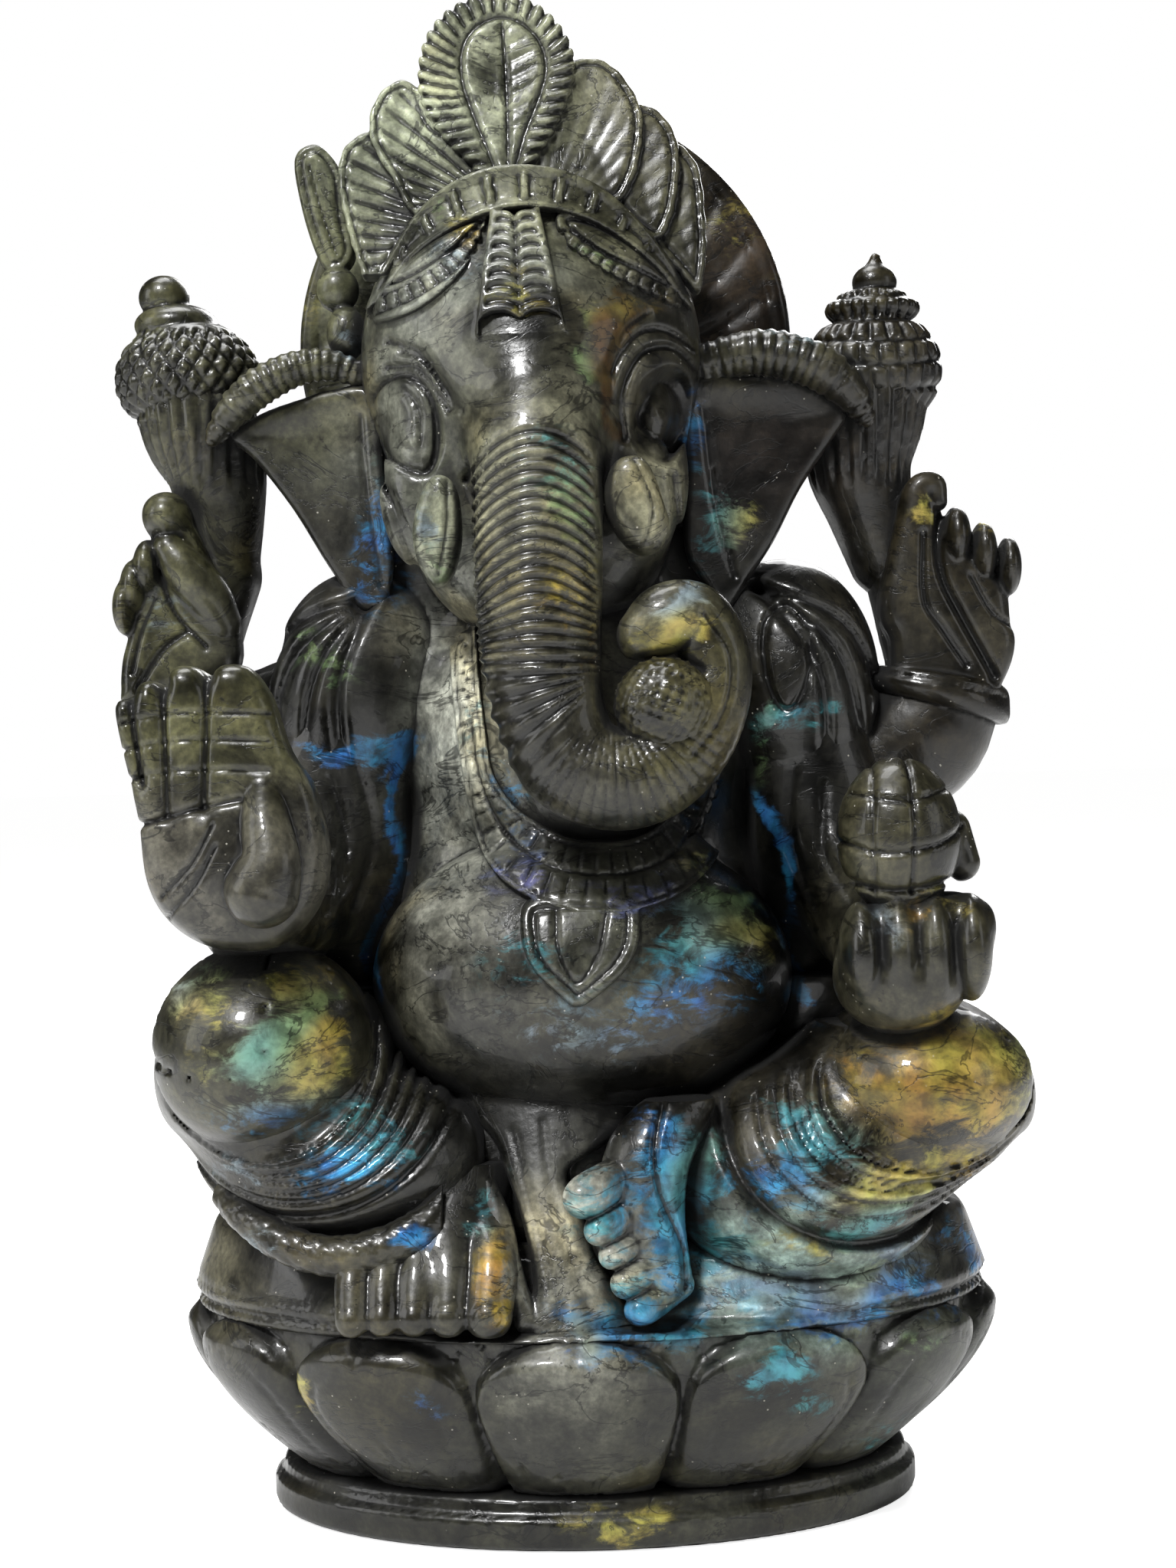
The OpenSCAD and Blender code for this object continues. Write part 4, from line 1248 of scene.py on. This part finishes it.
def build(made, result):
    """The piece's Blender object."""
    points, faces, closed, bend, (tint_and_painted_light, flash) = result
    mesh = bpy.data.meshes.new(made["name"])
    mesh.vertices.add(len(points))
    mesh.vertices.foreach_set("co", (points * MM).astype(np.float32).ravel())
    mesh.loops.add(len(faces) * 4)
    mesh.loops.foreach_set("vertex_index", faces.ravel().astype(np.int32))
    mesh.polygons.add(len(faces))
    mesh.polygons.foreach_set("loop_start", np.arange(0, len(faces) * 4, 4, dtype=np.int32))
    mesh.polygons.foreach_set("use_smooth", np.ones(len(faces), bool))
    mesh.update(calc_edges=True)
    for label, values in (("shelter", closed), ("hollow", bend)):
        mesh.attributes.new(label, "FLOAT", "POINT").data.foreach_set("value", values.astype(np.float32))
    for label, values in (("tint_and_painted_light", np.column_stack([tint_and_painted_light, np.ones(len(tint_and_painted_light))])), ("flash", flash)):
        mark = mesh.attributes.new(label, "FLOAT_COLOR", "POINT")
        mark.data.foreach_set("color", values.astype(np.float32).ravel())
    obj = bpy.data.objects.new(made["name"], mesh)
    bpy.context.scene.collection.objects.link(obj)
    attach(obj, "root")
    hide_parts(*made["nodes"])
    return obj


# ---------------------------------------------------------------- colours of the stone, with painted shade and sheen

CHARCOAL = (0.0080, 0.0078, 0.0058)

# Soft zones of colour, each with its middle, its reach each way, its colour and its weight.
# Some zones are painted shade in recesses, gaps and on the side away from the lights, and one is a painted
# sheen.
FACE_ZONES = [
    ((-6, -10, 58), (30, 60, 26), (0.128, 0.136, 0.090), 6),
    ((-24, -10, 44), (14, 40, 12), (0.160, 0.175, 0.120), 6),
    ((20, -10, 48), (16, 40, 18), (0.045, 0.038, 0.020), 7),
    # painted shade: near black in the undercut pocket below the forehead mark
    ((-1.3, -34, 4.4), (7, 14, 2.6), (0.0012, 0.0012, 0.0010), 60),
    ((0, -34, 28), (34, 20, 8), (0.057, 0.057, 0.031), 5),
    ((-14, -30, 14), (12, 14, 8), (0.190, 0.200, 0.165), 5),
    ((-6, -32, -4), (22, 22, 16), (0.030, 0.031, 0.022), 5),
    ((20, -28, -4), (10, 22, 18), (0.038, 0.035, 0.023), 3),
    ((-26, -24, -14), (10, 16, 14), (0.085, 0.088, 0.070), 5),
    ((25, -24, -12), (6, 12, 9), (0.017, 0.015, 0.0090), 5),
    ((1, -46, -32), (13, 16, 26), (0.085, 0.082, 0.052), 7),
    ((-18, -40, -34), (6, 12, 13), (0.120, 0.128, 0.088), 8),
    ((22, -40, -31), (7, 12, 12), (0.105, 0.102, 0.066), 8),
    ((24, -50, -66), (10, 12, 12), (0.045, 0.041, 0.016), 6),
    ((-44, 2, 30), (9, 16, 26), (0.052, 0.053, 0.026), 6),
    ((-52, -4, 0), (20, 8, 8), (0.042, 0.041, 0.023), 5),
    ((50, -4, 3), (20, 8, 8), (0.032, 0.031, 0.016), 5),
    # painted shade: dark brown on the halo's side away from the lights
    ((48, 22, 30), (28, 20, 26), (0.012, 0.0070, 0.0030), 9),
    ((-76, 10, 18), (9, 12, 7), (0.042, 0.043, 0.021), 5),
    ((70, 10, 18), (9, 12, 7), (0.038, 0.035, 0.016), 4),
    ((0, -30, 37), (34, 14, 5), (0.032, 0.032, 0.021), 6),
    # painted shade: dark on the bud body on the side away from the lights
    ((70, 10, 2), (18, 16, 14), (0.009, 0.007, 0.004), 6),
    # painted shade: dark on the low curl of the trunk
    ((4, -48, -66), (20, 12, 12), (0.011, 0.010, 0.007), 7),
    # painted shade: dark on the ear flap on the side away from the lights
    ((46, 0, -14), (18, 12, 14), (0.006, 0.004, 0.003), 6),
]
BODY_ZONES = [
    ((-68, -46, 104), (20, 16, 14), (0.051, 0.050, 0.021), 8),
    ((-66, -46, 80), (18, 14, 12), (0.060, 0.056, 0.044), 6),
    ((-58, -52, 78), (6, 8, 16), (0.012, 0.011, 0.006), 10),
    ((60, -42, 82), (14, 16, 14), (0.027, 0.025, 0.013), 8),
    ((60, -42, 56), (16, 14, 12), (0.027, 0.026, 0.016), 6),
    ((76, -34, 58), (6, 10, 8), (0.052, 0.043, 0.013), 6),
    ((-86, 0, 130), (10, 14, 20), (0.042, 0.041, 0.019), 7),
    # painted shade: dark on the rear hand on the side away from the lights
    ((78, 0, 130), (16, 14, 20), (0.013, 0.011, 0.0060), 8),
    # painted shade: dark on the elbow on the side away from the lights
    ((76, 4, 98), (14, 16, 10), (0.0080, 0.0060, 0.0030), 8),
    # painted sheen: a pale grey streak on the chest beside the necklace
    ((-24, -22, 100), (7, 16, 26), (0.220, 0.226, 0.190), 12),
    ((-22, -32, 58), (18, 20, 16), (0.032, 0.031, 0.022), 4),
    ((0, -42, 60), (12, 10, 12), (0.034, 0.035, 0.024), 5),
    ((-60, -28, 42), (24, 24, 18), (0.027, 0.026, 0.014), 4),
    ((-56, -34, 14), (24, 20, 14), (0.024, 0.022, 0.015), 4),
    ((-30, -46, -2), (18, 12, 12), (0.032, 0.031, 0.021), 5),
    ((-4, -46, 0), (9, 12, 18), (0.200, 0.200, 0.165), 12),
    # painted shade: dark in the lap and under the belly
    ((-8, -40, 24), (24, 12, 8), (0.006, 0.006, 0.005), 16),
    ((0, -40, 32), (34, 14, 6), (0.006, 0.0055, 0.004), 6),
    ((55, -30, 30), (26, 24, 22), (0.034, 0.029, 0.016), 4),
    ((-74, 0, 0), (14, 60, 9), (0.039, 0.036, 0.022), 5),
    ((0, -50, -28), (70, 20, 20), (0.016, 0.016, 0.010), 5),
    ((64, -30, -28), (24, 30, 20), (0.019, 0.021, 0.015), 4),
    ((0, 50, -26), (90, 40, 26), (0.023, 0.022, 0.014), 3),
    ((-14, -36, 84), (7, 10, 20), (0.060, 0.060, 0.048), 7),
    # painted shade: dark on both sleeves
    ((-48, -12, 112), (12, 20, 18), (0.006, 0.006, 0.005), 6),
    ((44, -12, 108), (14, 20, 20), (0.006, 0.006, 0.005), 6),
    ((-22, -36, 60), (12, 14, 12), (0.060, 0.060, 0.050), 5),
    ((36, -42, -4), (14, 14, 7), (0.200, 0.270, 0.235), 12),
    # painted shadow: near black on the sash's side fold beside the leg
    ((-20, -38, 10), (5, 12, 18), (0.004, 0.004, 0.003), 14),
    # painted shade: near black where the belly's side meets the arm and leg
    ((38, -16, 42), (9, 16, 10), (0.001, 0.001, 0.001), 40),
]

BLUE, TEAL, GREEN = (0.020, 0.130, 0.270), (0.035, 0.170, 0.190), (0.120, 0.175, 0.075)
GOLD, ORANGE, BROWN = (0.230, 0.190, 0.045), (0.200, 0.125, 0.022), (0.045, 0.024, 0.008)
VIOLET, STEEL = (0.060, 0.070, 0.150), (0.130, 0.170, 0.190)

# Where the stone flashes, each with its middle, its reach each way, its colour and its strength.
FACE_FLASHES = [
    ((3, -46, -24), (7, 9, 6), TEAL, 0.3),
    ((9, -48, -30), (6, 10, 9), GREEN, 0.4),
    ((8, -50, -44), (6, 10, 8), GOLD, 0.25),
    ((4, -54, -50), (9, 10, 6), ORANGE, 0.15),
    ((8, -52, -58), (6, 10, 8), ORANGE, 0.2),
    ((15, -34, -2), (2.4, 12, 14), BROWN, 1.1),
    ((20, -32, 6), (7, 12, 2.6), BROWN, 0.8),
    ((11.5, -36, -1), (1.6, 12, 12), GREEN, 0.25),
    ((21, -32, 9), (8, 10, 2.2), GOLD, 0.25),
    ((-20, -34, 26), (6, 8, 3), GREEN, 0.6),
    ((-10, -34, 22), (3, 8, 3), ORANGE, 0.45),
    ((-14, -34, 16), (5, 8, 4), STEEL, 0.5),
    ((-2, -38, 9), (7, 8, 5), GOLD, 0.35),
    ((14, -34, 18), (6, 8, 3), GREEN, 0.3),
    ((-37, -4, 6), (3, 8, 4), STEEL, 0.7),
    ((-31, -4, -34), (5, 10, 11), BLUE, 0.75),
    ((-29, -4, -22), (3, 10, 6), GREEN, 0.25),
    ((34, -6, -30), (4, 10, 8), TEAL, 0.6),
    ((38, -6, -30), (4, 10, 4), GOLD, 0.45),
    ((33, -6, -12), (3, 10, 6), BLUE, 0.6),
    ((52, -10, 5), (6, 8, 3), STEEL, 0.5),
    ((-18, -44, -31), (3.5, 8, 4), STEEL, 0.6),
    ((-17, -44, -40), (3.5, 8, 4), GREEN, 0.35),
    ((24, -50, -55), (6, 9, 4), GOLD, 0.85),
    ((25, -48, -48.5), (5, 9, 2.5), STEEL, 0.8),
    ((52, 20, 34), (14, 12, 9), GOLD, 0.3),
    ((44, 20, 2), (12, 12, 9), ORANGE, 0.25),
    ((-52, 20, 8), (6, 14, 20), GOLD, 0.3),
]
BODY_FLASHES = [
    ((-50, -6, 117), (7, 12, 6), GREEN, 0.4),
    ((-43, -10, 98.5), (9, 12, 2.2), BLUE, 0.8),
    ((-38, -12, 94), (4, 12, 3), BLUE, 0.5),
    ((44, -8, 101), (8, 12, 2.6), TEAL, 0.55),
    ((38, -14, 96), (2.2, 10, 8), GREEN, 0.5),
    ((-18, -30, 98), (5, 12, 9), TEAL, 0.45),
    ((-14, -34, 86), (5, 12, 8), BLUE, 0.4),
    ((-12, -36, 72), (6, 12, 4), VIOLET, 0.7),
    ((12, -38, 69), (9, 12, 3.5), VIOLET, 0.5),
    ((24, -30, 82), (4, 12, 5), TEAL, 0.6),
    ((22, -32, 74), (5, 12, 4), GOLD, 0.3),
    ((30, -30, 66), (7, 12, 4.5), GREEN, 1.0),
    ((32, -30, 59.5), (9, 12, 3), GOLD, 1.0),
    ((25, -30, 63), (4, 12, 3), STEEL, 0.7),
    ((21, -36, 58), (10, 12, 5), TEAL, 0.7),
    ((20, -36, 50), (16, 12, 6), BLUE, 0.42),
    ((-13, -40, 56), (7, 12, 6), TEAL, 0.35),
    ((-4, -40, 43), (14, 12, 5), STEEL, 0.3),
    ((63, -48, 64), (3.5, 8, 3), ORANGE, 0.6),
    ((57, -48, 64), (3, 8, 3), STEEL, 0.5),
    ((70, -44, 66), (3.5, 8, 3), GOLD, 0.5),
    ((84, -2, 138), (5, 8, 2.5), GOLD, 0.9),
    ((70, -2, 142), (3, 8, 4), GOLD, 0.5),
    ((-80, -1, 128), (6, 8, 5), STEEL, 0.4),
    ((-77, -44, 56), (5, 12, 5), STEEL, 0.55),
    ((-72, -46, 52), (8, 12, 4), GOLD, 0.5),
    ((-72, -46, 58), (6, 12, 3), GREEN, 0.55),
    ((-55, -44, 55), (7, 12, 4), GOLD, 0.4),
    ((-50, -44, 55), (3, 12, 3), ORANGE, 0.6),
    ((-50, -44, 50), (3, 12, 2.5), GREEN, 1.0),
    ((-58, -46, 42), (5, 12, 5), TEAL, 0.9),
    ((-54, -46, 44), (5, 12, 5), GREEN, 0.9),
    ((-48, -45, 43), (4, 12, 4), ORANGE, 0.9),
    ((-48, -45, 37), (6, 12, 5), GOLD, 0.7),
    ((-62, -46, 40), (10, 12, 8), GOLD, 0.25),
    ((-60, -45, 30), (12, 12, 4), BLUE, 0.3),
    ((-46, -44, 18), (7, 12, 3.5), BLUE, 0.9),
    ((-40, -42, 25), (9, 12, 5), TEAL, 0.55),
    ((-68, -38, 20), (6, 12, 3), STEEL, 0.5),
    ((-62, -40, 6), (6, 12, 4), STEEL, 0.4),
    ((-31, -46, 7), (3, 8, 2), BLUE, 1.0),
    ((-18, -48, 0), (3.6, 10, 8), ORANGE, 0.7),
    ((-19, -44, 12), (3, 10, 4), TEAL, 0.9),
    ((66, -42, 32), (15, 14, 9), ORANGE, 0.85),
    ((76, -38, 36), (9, 14, 9), GOLD, 0.75),
    ((55, -42, 29), (9, 12, 6), BROWN, 0.6),
    ((84, -26, 36), (4, 12, 8), GREEN, 0.5),
    ((42, -40, 23), (7, 12, 6), TEAL, 1.0),
    ((56, -42, 13.5), (10, 12, 4), GOLD, 1.2),
    ((74, -38, 14), (9, 12, 3.5), ORANGE, 0.9),
    ((36, -42, 14), (9, 12, 4), BLUE, 0.7),
    ((52, -42, 8), (10, 12, 3), TEAL, 0.7),
    ((40, -44, 3), (8, 12, 2.5), GOLD, 0.6),
    ((18, -44, 14), (5, 12, 9), TEAL, 0.9),
    ((19, -44, 19), (4, 12, 4), GREEN, 0.7),
    ((26, -46, 1), (7, 12, 5), TEAL, 0.9),
    ((38, -46, -5), (10, 12, 4), STEEL, 1.3),
    ((48, -46, -5), (6, 12, 3), GOLD, 0.7),
    ((62, -42, -1), (10, 12, 4), STEEL, 0.6),
    ((78, -30, 4), (9, 14, 4), BLUE, 0.9),
    ((1, -48, 10), (7, 9, 10), TEAL, 0.6),
    ((9, -48, -5), (6, 9, 6), TEAL, 0.5),
    ((12, -44, 18), (6, 10, 11), BLUE, 0.55),
    ((17, -44, 2), (5, 10, 8), BLUE, 0.5),
    ((3, -54, -10), (9, 9, 4.5), BLUE, 1.4),
    ((-2, -54, -12), (2.5, 9, 2.5), GOLD, 1.2),
    ((22, -52, -8), (14, 9, 3.5), TEAL, 1.5),
    ((36, -52, -8), (6, 9, 2.5), GOLD, 1.0),
    ((60, -42, -9), (26, 12, 4), BLUE, 1.3),
    ((84, -10, -4), (6, 24, 6), BLUE, 1.3),
    ((34, -52, -20), (5, 9, 3), TEAL, 1.1),
    ((42, -50, -26), (5, 9, 3), TEAL, 0.6),
    ((62, -40, -19), (6, 9, 2), GREEN, 0.6),
    ((-30, -50, -24), (6, 9, 4), BLUE, 0.22),
    ((-54, -42, -26), (2.5, 10, 4), GOLD, 1.1),
    ((3, -44, -47.5), (9, 6, 3.5), GOLD, 0.8),
    ((60, -30, -40), (10, 12, 5), TEAL, 0.35),
    ((20, 30, 60), (26, 14, 22), BLUE, 0.45),
    ((-30, 30, 90), (18, 14, 18), TEAL, 0.35),
    ((60, 44, -20), (26, 14, 12), TEAL, 0.35),
]

# Thin blue flashing lines down the sides of the body.
EDGE_LINES = [[(-34, 100), (-36, 84), (-39, 68), (-41, 52)], [(38, 86), (41, 70), (43, 54), (43, 44)]]


def drift(p, size, reach):
    """The points pushed about by smooth waves, so that a zone's edge isn't an even curve."""
    x, y, z = (c / size for c in p)
    wave = np.sin
    return (
        p[0] + reach * (wave(1.7 * z + 0.6 * y) + 0.6 * wave(3.9 * y - 2.3 * z + 1)),
        p[1] + reach * (wave(1.3 * x + 1.1 * z + 2) + 0.6 * wave(3.1 * x + 2.7 * z)),
        p[2] + reach * (wave(1.5 * x + 0.9 * y + 4) + 0.6 * wave(4.1 * x - 1.9 * y + 3)),
    )


def paint(points):
    """The stone's colour at each vertex with its painted shade and sheen, and the colour and strength of its
    flash.
    """
    origins = anchors()
    warped = drift(tuple(points.T), 9.0, 1.7)
    face, body = (tuple(warped[i] - origins[name][i] for i in range(3)) for name in ("face", "body"))

    def nearness(p, middle, reach):
        return np.exp(-sum(((p[i] - middle[i]) / reach[i]) ** 2 for i in range(3)))

    total = np.ones(len(points))
    tint_and_painted_light = np.outer(total, CHARCOAL)
    for p, zones in ((face, FACE_ZONES), (body, BODY_ZONES)):
        for middle, reach, colour, weight in zones:
            share = weight * nearness(p, middle, reach)
            total += share
            tint_and_painted_light += np.outer(share, colour)
    tint_and_painted_light /= total[:, None]
    amount = np.full(len(points), 1e-6)
    flash = np.outer(amount, BLUE)
    for p, flashes in ((face, FACE_FLASHES), (body, BODY_FLASHES)):
        for middle, reach, colour, strength in flashes:
            share = strength * nearness(p, middle, reach)
            amount += share
            flash += np.outer(share, colour)
    x, y, z = body
    for line in EDGE_LINES:
        side, _ = track(x.astype(np.float32), z.astype(np.float32), line)
        share = 1.2 * np.exp(-((side / 1.3) ** 2)) * ramp(y, 6, -2) * ramp(y, -28, -20)
        amount += share
        flash += np.outer(share, BLUE)
    flash /= amount[:, None]
    return tint_and_painted_light, np.column_stack([flash, np.clip(amount, 0, 1)])


# ---------------------------------------------------------------- materials


class Nodes:
    """Short calls for building a node tree."""

    def __init__(self, tree):
        self.tree = tree

    def add(self, kind, sockets=None, **settings):
        node = self.tree.nodes.new(kind)
        for name, value in settings.items():
            setattr(node, name, value)
        for name, value in (sockets or {}).items():
            self.put(node.inputs[name], value)
        return node

    def put(self, socket, value):
        if isinstance(value, bpy.types.NodeSocket):
            self.tree.links.new(value, socket)
        else:
            socket.default_value = value

    def math(self, operation, a, b=0.0, clamp=False):
        return self.add("ShaderNodeMath", {0: a, 1: b}, operation=operation, use_clamp=clamp).outputs[0]

    def span(self, value, start, end, low=0.0, high=1.0):
        node = self.add(
            "ShaderNodeMapRange",
            {"Value": value, "From Min": start, "From Max": end, "To Min": low, "To Max": high},
            interpolation_type="SMOOTHSTEP",
        )
        return node.outputs["Result"]

    def noise(self, place, scale, detail=4.0, rough=0.55, twist=0.0):
        node = self.add(
            "ShaderNodeTexNoise",
            {"Vector": place, "Scale": scale, "Detail": detail, "Roughness": rough, "Distortion": twist},
        )
        return node.outputs["Fac"]

    def mix(self, share, a, b, kind="MIX"):
        node = self.add("ShaderNodeMix", data_type="RGBA", blend_type=kind)
        self.put(node.inputs[0], share)
        self.put(node.inputs[6], a)
        self.put(node.inputs[7], b)
        return node.outputs[2]

    def attribute(self, name):
        return self.add("ShaderNodeAttribute", attribute_name=name)


def stone_material():
    """Polished dark feldspar: cloudy grey to olive, with flashes of colour, cracks and pale specks."""
    mat = bpy.data.materials.new("polished_stone")
    mat.use_nodes = True
    n = Nodes(mat.node_tree)
    shader = mat.node_tree.nodes["Principled BSDF"]
    place = n.add("ShaderNodeTexCoord").outputs["Object"]
    tint_and_painted_light = n.attribute("tint_and_painted_light").outputs["Color"]
    flash = n.attribute("flash")
    shelter_share = n.attribute("shelter").outputs["Fac"]
    hollow = n.attribute("hollow").outputs["Fac"]

    cloud = n.noise(place, 60, 6, 0.62, 0.6)
    fine = n.noise(place, 260, 4, 0.6, 0.3)
    grain = n.noise(place, 900, 3, 0.6)
    light = n.math("MULTIPLY", n.span(cloud, 0.32, 0.70, 0.22, 2.0), n.span(fine, 0.3, 0.7, 0.62, 1.38))
    light = n.math("MULTIPLY", light, n.span(grain, 0.3, 0.7, 0.75, 1.25))
    shade = n.add("ShaderNodeCombineColor", {0: light, 1: light, 2: light}).outputs[0]
    colour = n.mix(1.0, tint_and_painted_light, shade, "MULTIPLY")
    warm = n.span(n.noise(place, 34, 3, 0.5), 0.52, 0.68)
    warmer = n.mix(1.0, colour, (1.25, 1.05, 0.62, 1), "MULTIPLY")
    colour = n.mix(n.math("MULTIPLY", warm, 0.55), colour, warmer)

    streaky = n.add("ShaderNodeVectorMath", {0: place, 1: (1.0, 0.8, 1.9)}, operation="MULTIPLY").outputs[0]
    patch = n.noise(streaky, 130, 7, 0.7, 0.6)
    reach = n.math("ADD", flash.outputs["Alpha"], n.span(patch, 0.3, 0.7, -0.5, 0.5))
    shown = n.math("MULTIPLY", n.span(reach, 0.12, 0.95), n.span(flash.outputs["Alpha"], 0.03, 0.25))
    hue = n.span(n.noise(place, 150, 3, 0.5), 0.25, 0.75, 0.485, 0.53)
    bright = n.span(fine, 0.3, 0.7, 0.45, 1.55)
    flashing = {"Hue": hue, "Saturation": 1.0, "Value": bright, "Color": flash.outputs["Color"]}
    glow = n.add("ShaderNodeHueSaturation", flashing).outputs[0]
    colour = n.mix(shown, colour, glow)

    bent = n.add("ShaderNodeVectorMath", {0: place, 1: (0.9, 0.5, 1.6)}, operation="MULTIPLY").outputs[0]
    vein = n.math("ABSOLUTE", n.math("SUBTRACT", n.noise(bent, 48, 5, 0.6, 1.2), 0.5))
    crack = n.span(vein, 0.004, 0.016, 0.35, 1.0)
    cell = n.add("ShaderNodeTexVoronoi", {"Vector": place, "Scale": 520.0, "Randomness": 1.0})
    speck = n.span(cell.outputs["Distance"], 0.12, 0.07)
    speck = n.math("MULTIPLY", speck, n.span(n.noise(place, 90, 2), 0.56, 0.62))
    # painted shade: the colour darkens where the stone around closes in, and open surfaces are painted
    # lighter
    crease = n.span(shelter_share, 0.28, 0.75, 1.0, 0.10)
    painted_open_light = n.span(shelter_share, 0.16, 0.0, 1.0, 1.3)
    # painted shade in grooves and a painted highlight on ridges, from how the surface bends
    groove = n.span(hollow, 0.05, 0.60, 1.0, 0.16)
    painted_ridge_highlight = n.span(hollow, -0.15, -0.9, 1.0, 1.4)
    # the cracks are the stone's own veins; the other factors here are painted shade and painted light
    edges = n.math("MULTIPLY", crease, n.math("MULTIPLY", painted_ridge_highlight, painted_open_light))
    dark = n.math("MULTIPLY", n.math("MULTIPLY", crack, groove), edges)
    shade = n.add("ShaderNodeCombineColor", {0: dark, 1: dark, 2: dark}).outputs[0]
    colour = n.mix(1.0, colour, shade, "MULTIPLY")
    colour = n.mix(n.math("MULTIPLY", speck, 0.7), colour, (0.42, 0.40, 0.34, 1))
    n.put(shader.inputs["Base Color"], colour)

    n.put(shader.inputs["Metallic"], n.math("MULTIPLY", shown, 0.15))
    unpolished = n.span(shelter_share, 0.25, 0.6, 0.28, 0.85)
    n.put(shader.inputs["Roughness"], n.math("MAXIMUM", n.span(cloud, 0.3, 0.7, 0.28, 0.48), unpolished))
    shader.inputs["Specular IOR Level"].default_value = 0.40
    shader.inputs["Coat Weight"].default_value = 0.28
    shader.inputs["Coat Roughness"].default_value = 0.06
    waves = n.math("ADD", n.math("MULTIPLY", n.noise(place, 140, 3), 0.55), n.math("MULTIPLY", fine, 0.25))
    pits = n.math("ADD", n.math("MULTIPLY", grain, 0.12), n.math("MULTIPLY", crack, 0.12))
    height = n.math("ADD", waves, pits)
    bump = n.add("ShaderNodeBump", {"Height": height, "Strength": 0.35, "Distance": 0.0010})
    n.put(shader.inputs["Normal"], bump.outputs["Normal"])
    return mat


# ---------------------------------------------------------------- the scene


def aim(obj, target):
    direction = Vector(target) - obj.location
    obj.rotation_euler = direction.to_track_quat("-Z", "Y").to_euler()


def add_light(name, place, target, size, power):
    light = bpy.data.lights.new(name, "AREA")
    light.shape = "RECTANGLE"
    light.size, light.size_y = size
    light.energy = power
    obj = bpy.data.objects.new(name, light)
    obj.location = place
    bpy.context.scene.collection.objects.link(obj)
    aim(obj, target)
    return obj


def add_camera():
    camera = bpy.data.cameras.new("view")
    camera.sensor_fit = "HORIZONTAL"
    camera.sensor_width = 36
    camera.lens = 75.68
    camera.clip_start = 0.05
    obj = bpy.data.objects.new("view", camera)
    turn = Matrix.Rotation(math.radians(90 - 0.3), 4, "X") @ Matrix.Rotation(math.radians(-1.5), 4, "Z")
    obj.matrix_world = Matrix.Translation((0.0021, -0.5, 0.145)) @ turn
    bpy.context.scene.collection.objects.link(obj)
    bpy.context.scene.camera = obj


def add_floor():
    mesh = bpy.data.meshes.new("floor")
    mesh.from_pydata([(-30, -30, 0), (30, -30, 0), (30, 30, 0), (-30, 30, 0)], [], [(0, 1, 2, 3)])
    floor = bpy.data.objects.new("floor", mesh)
    bpy.context.scene.collection.objects.link(floor)
    mat = bpy.data.materials.new("pale_floor")
    mat.use_nodes = True
    shader = mat.node_tree.nodes["Principled BSDF"]
    shader.inputs["Base Color"].default_value = (0.88, 0.88, 0.87, 1)
    shader.inputs["Roughness"].default_value = 0.8
    shader.inputs["Emission Color"].default_value = (1, 1, 1, 1)
    n = Nodes(mat.node_tree)
    seen = n.add("ShaderNodeLightPath").outputs["Is Camera Ray"]
    n.put(shader.inputs["Emission Strength"], n.span(seen, 0, 1, 0.0, 0.78))
    mesh.materials.append(mat)


def add_world():
    world = bpy.data.worlds.new("studio")
    world.use_nodes = True
    n = Nodes(world.node_tree)
    seen = n.add("ShaderNodeLightPath").outputs["Is Camera Ray"]
    background = world.node_tree.nodes["Background"]
    background.inputs["Color"].default_value = (1, 1, 1, 1)
    mirrored = n.add("ShaderNodeLightPath").outputs["Is Glossy Ray"]
    n.put(background.inputs["Strength"], n.span(mirrored, 0, 1, n.span(seen, 0, 1, 0.27, 1.0), 0.05))
    bpy.context.scene.world = world
    bpy.context.scene.view_settings.view_transform = "Standard"


add_camera()
add_world()
add_floor()
add_light("key", (-0.34, -0.66, 0.95), (0, 0, 0.15), (0.16, 0.16), 13)
add_light("left_box", (-1.0, -0.3, 0.5), (0, 0, 0.15), (0.40, 0.7), 3)
add_light("right_box", (0.95, -0.45, 0.4), (0, 0, 0.15), (0.40, 0.6), 1.2)
add_light("top", (-0.15, 0.15, 1.15), (0, 0, 0.2), (0.6, 0.4), 7)
add_light("rear", (0.3, 1.0, 0.8), (0, 0, 0.15), (0.6, 0.6), 9)

place_pieces()
stone = stone_material()
with ThreadPoolExecutor(4) as workers:
    results = list(workers.map(carve, PIECES))
for made, result in zip(PIECES, results):
    build(made, result).data.materials.append(stone)
print("sculpted quads", sum(len(r[1]) for r in results))
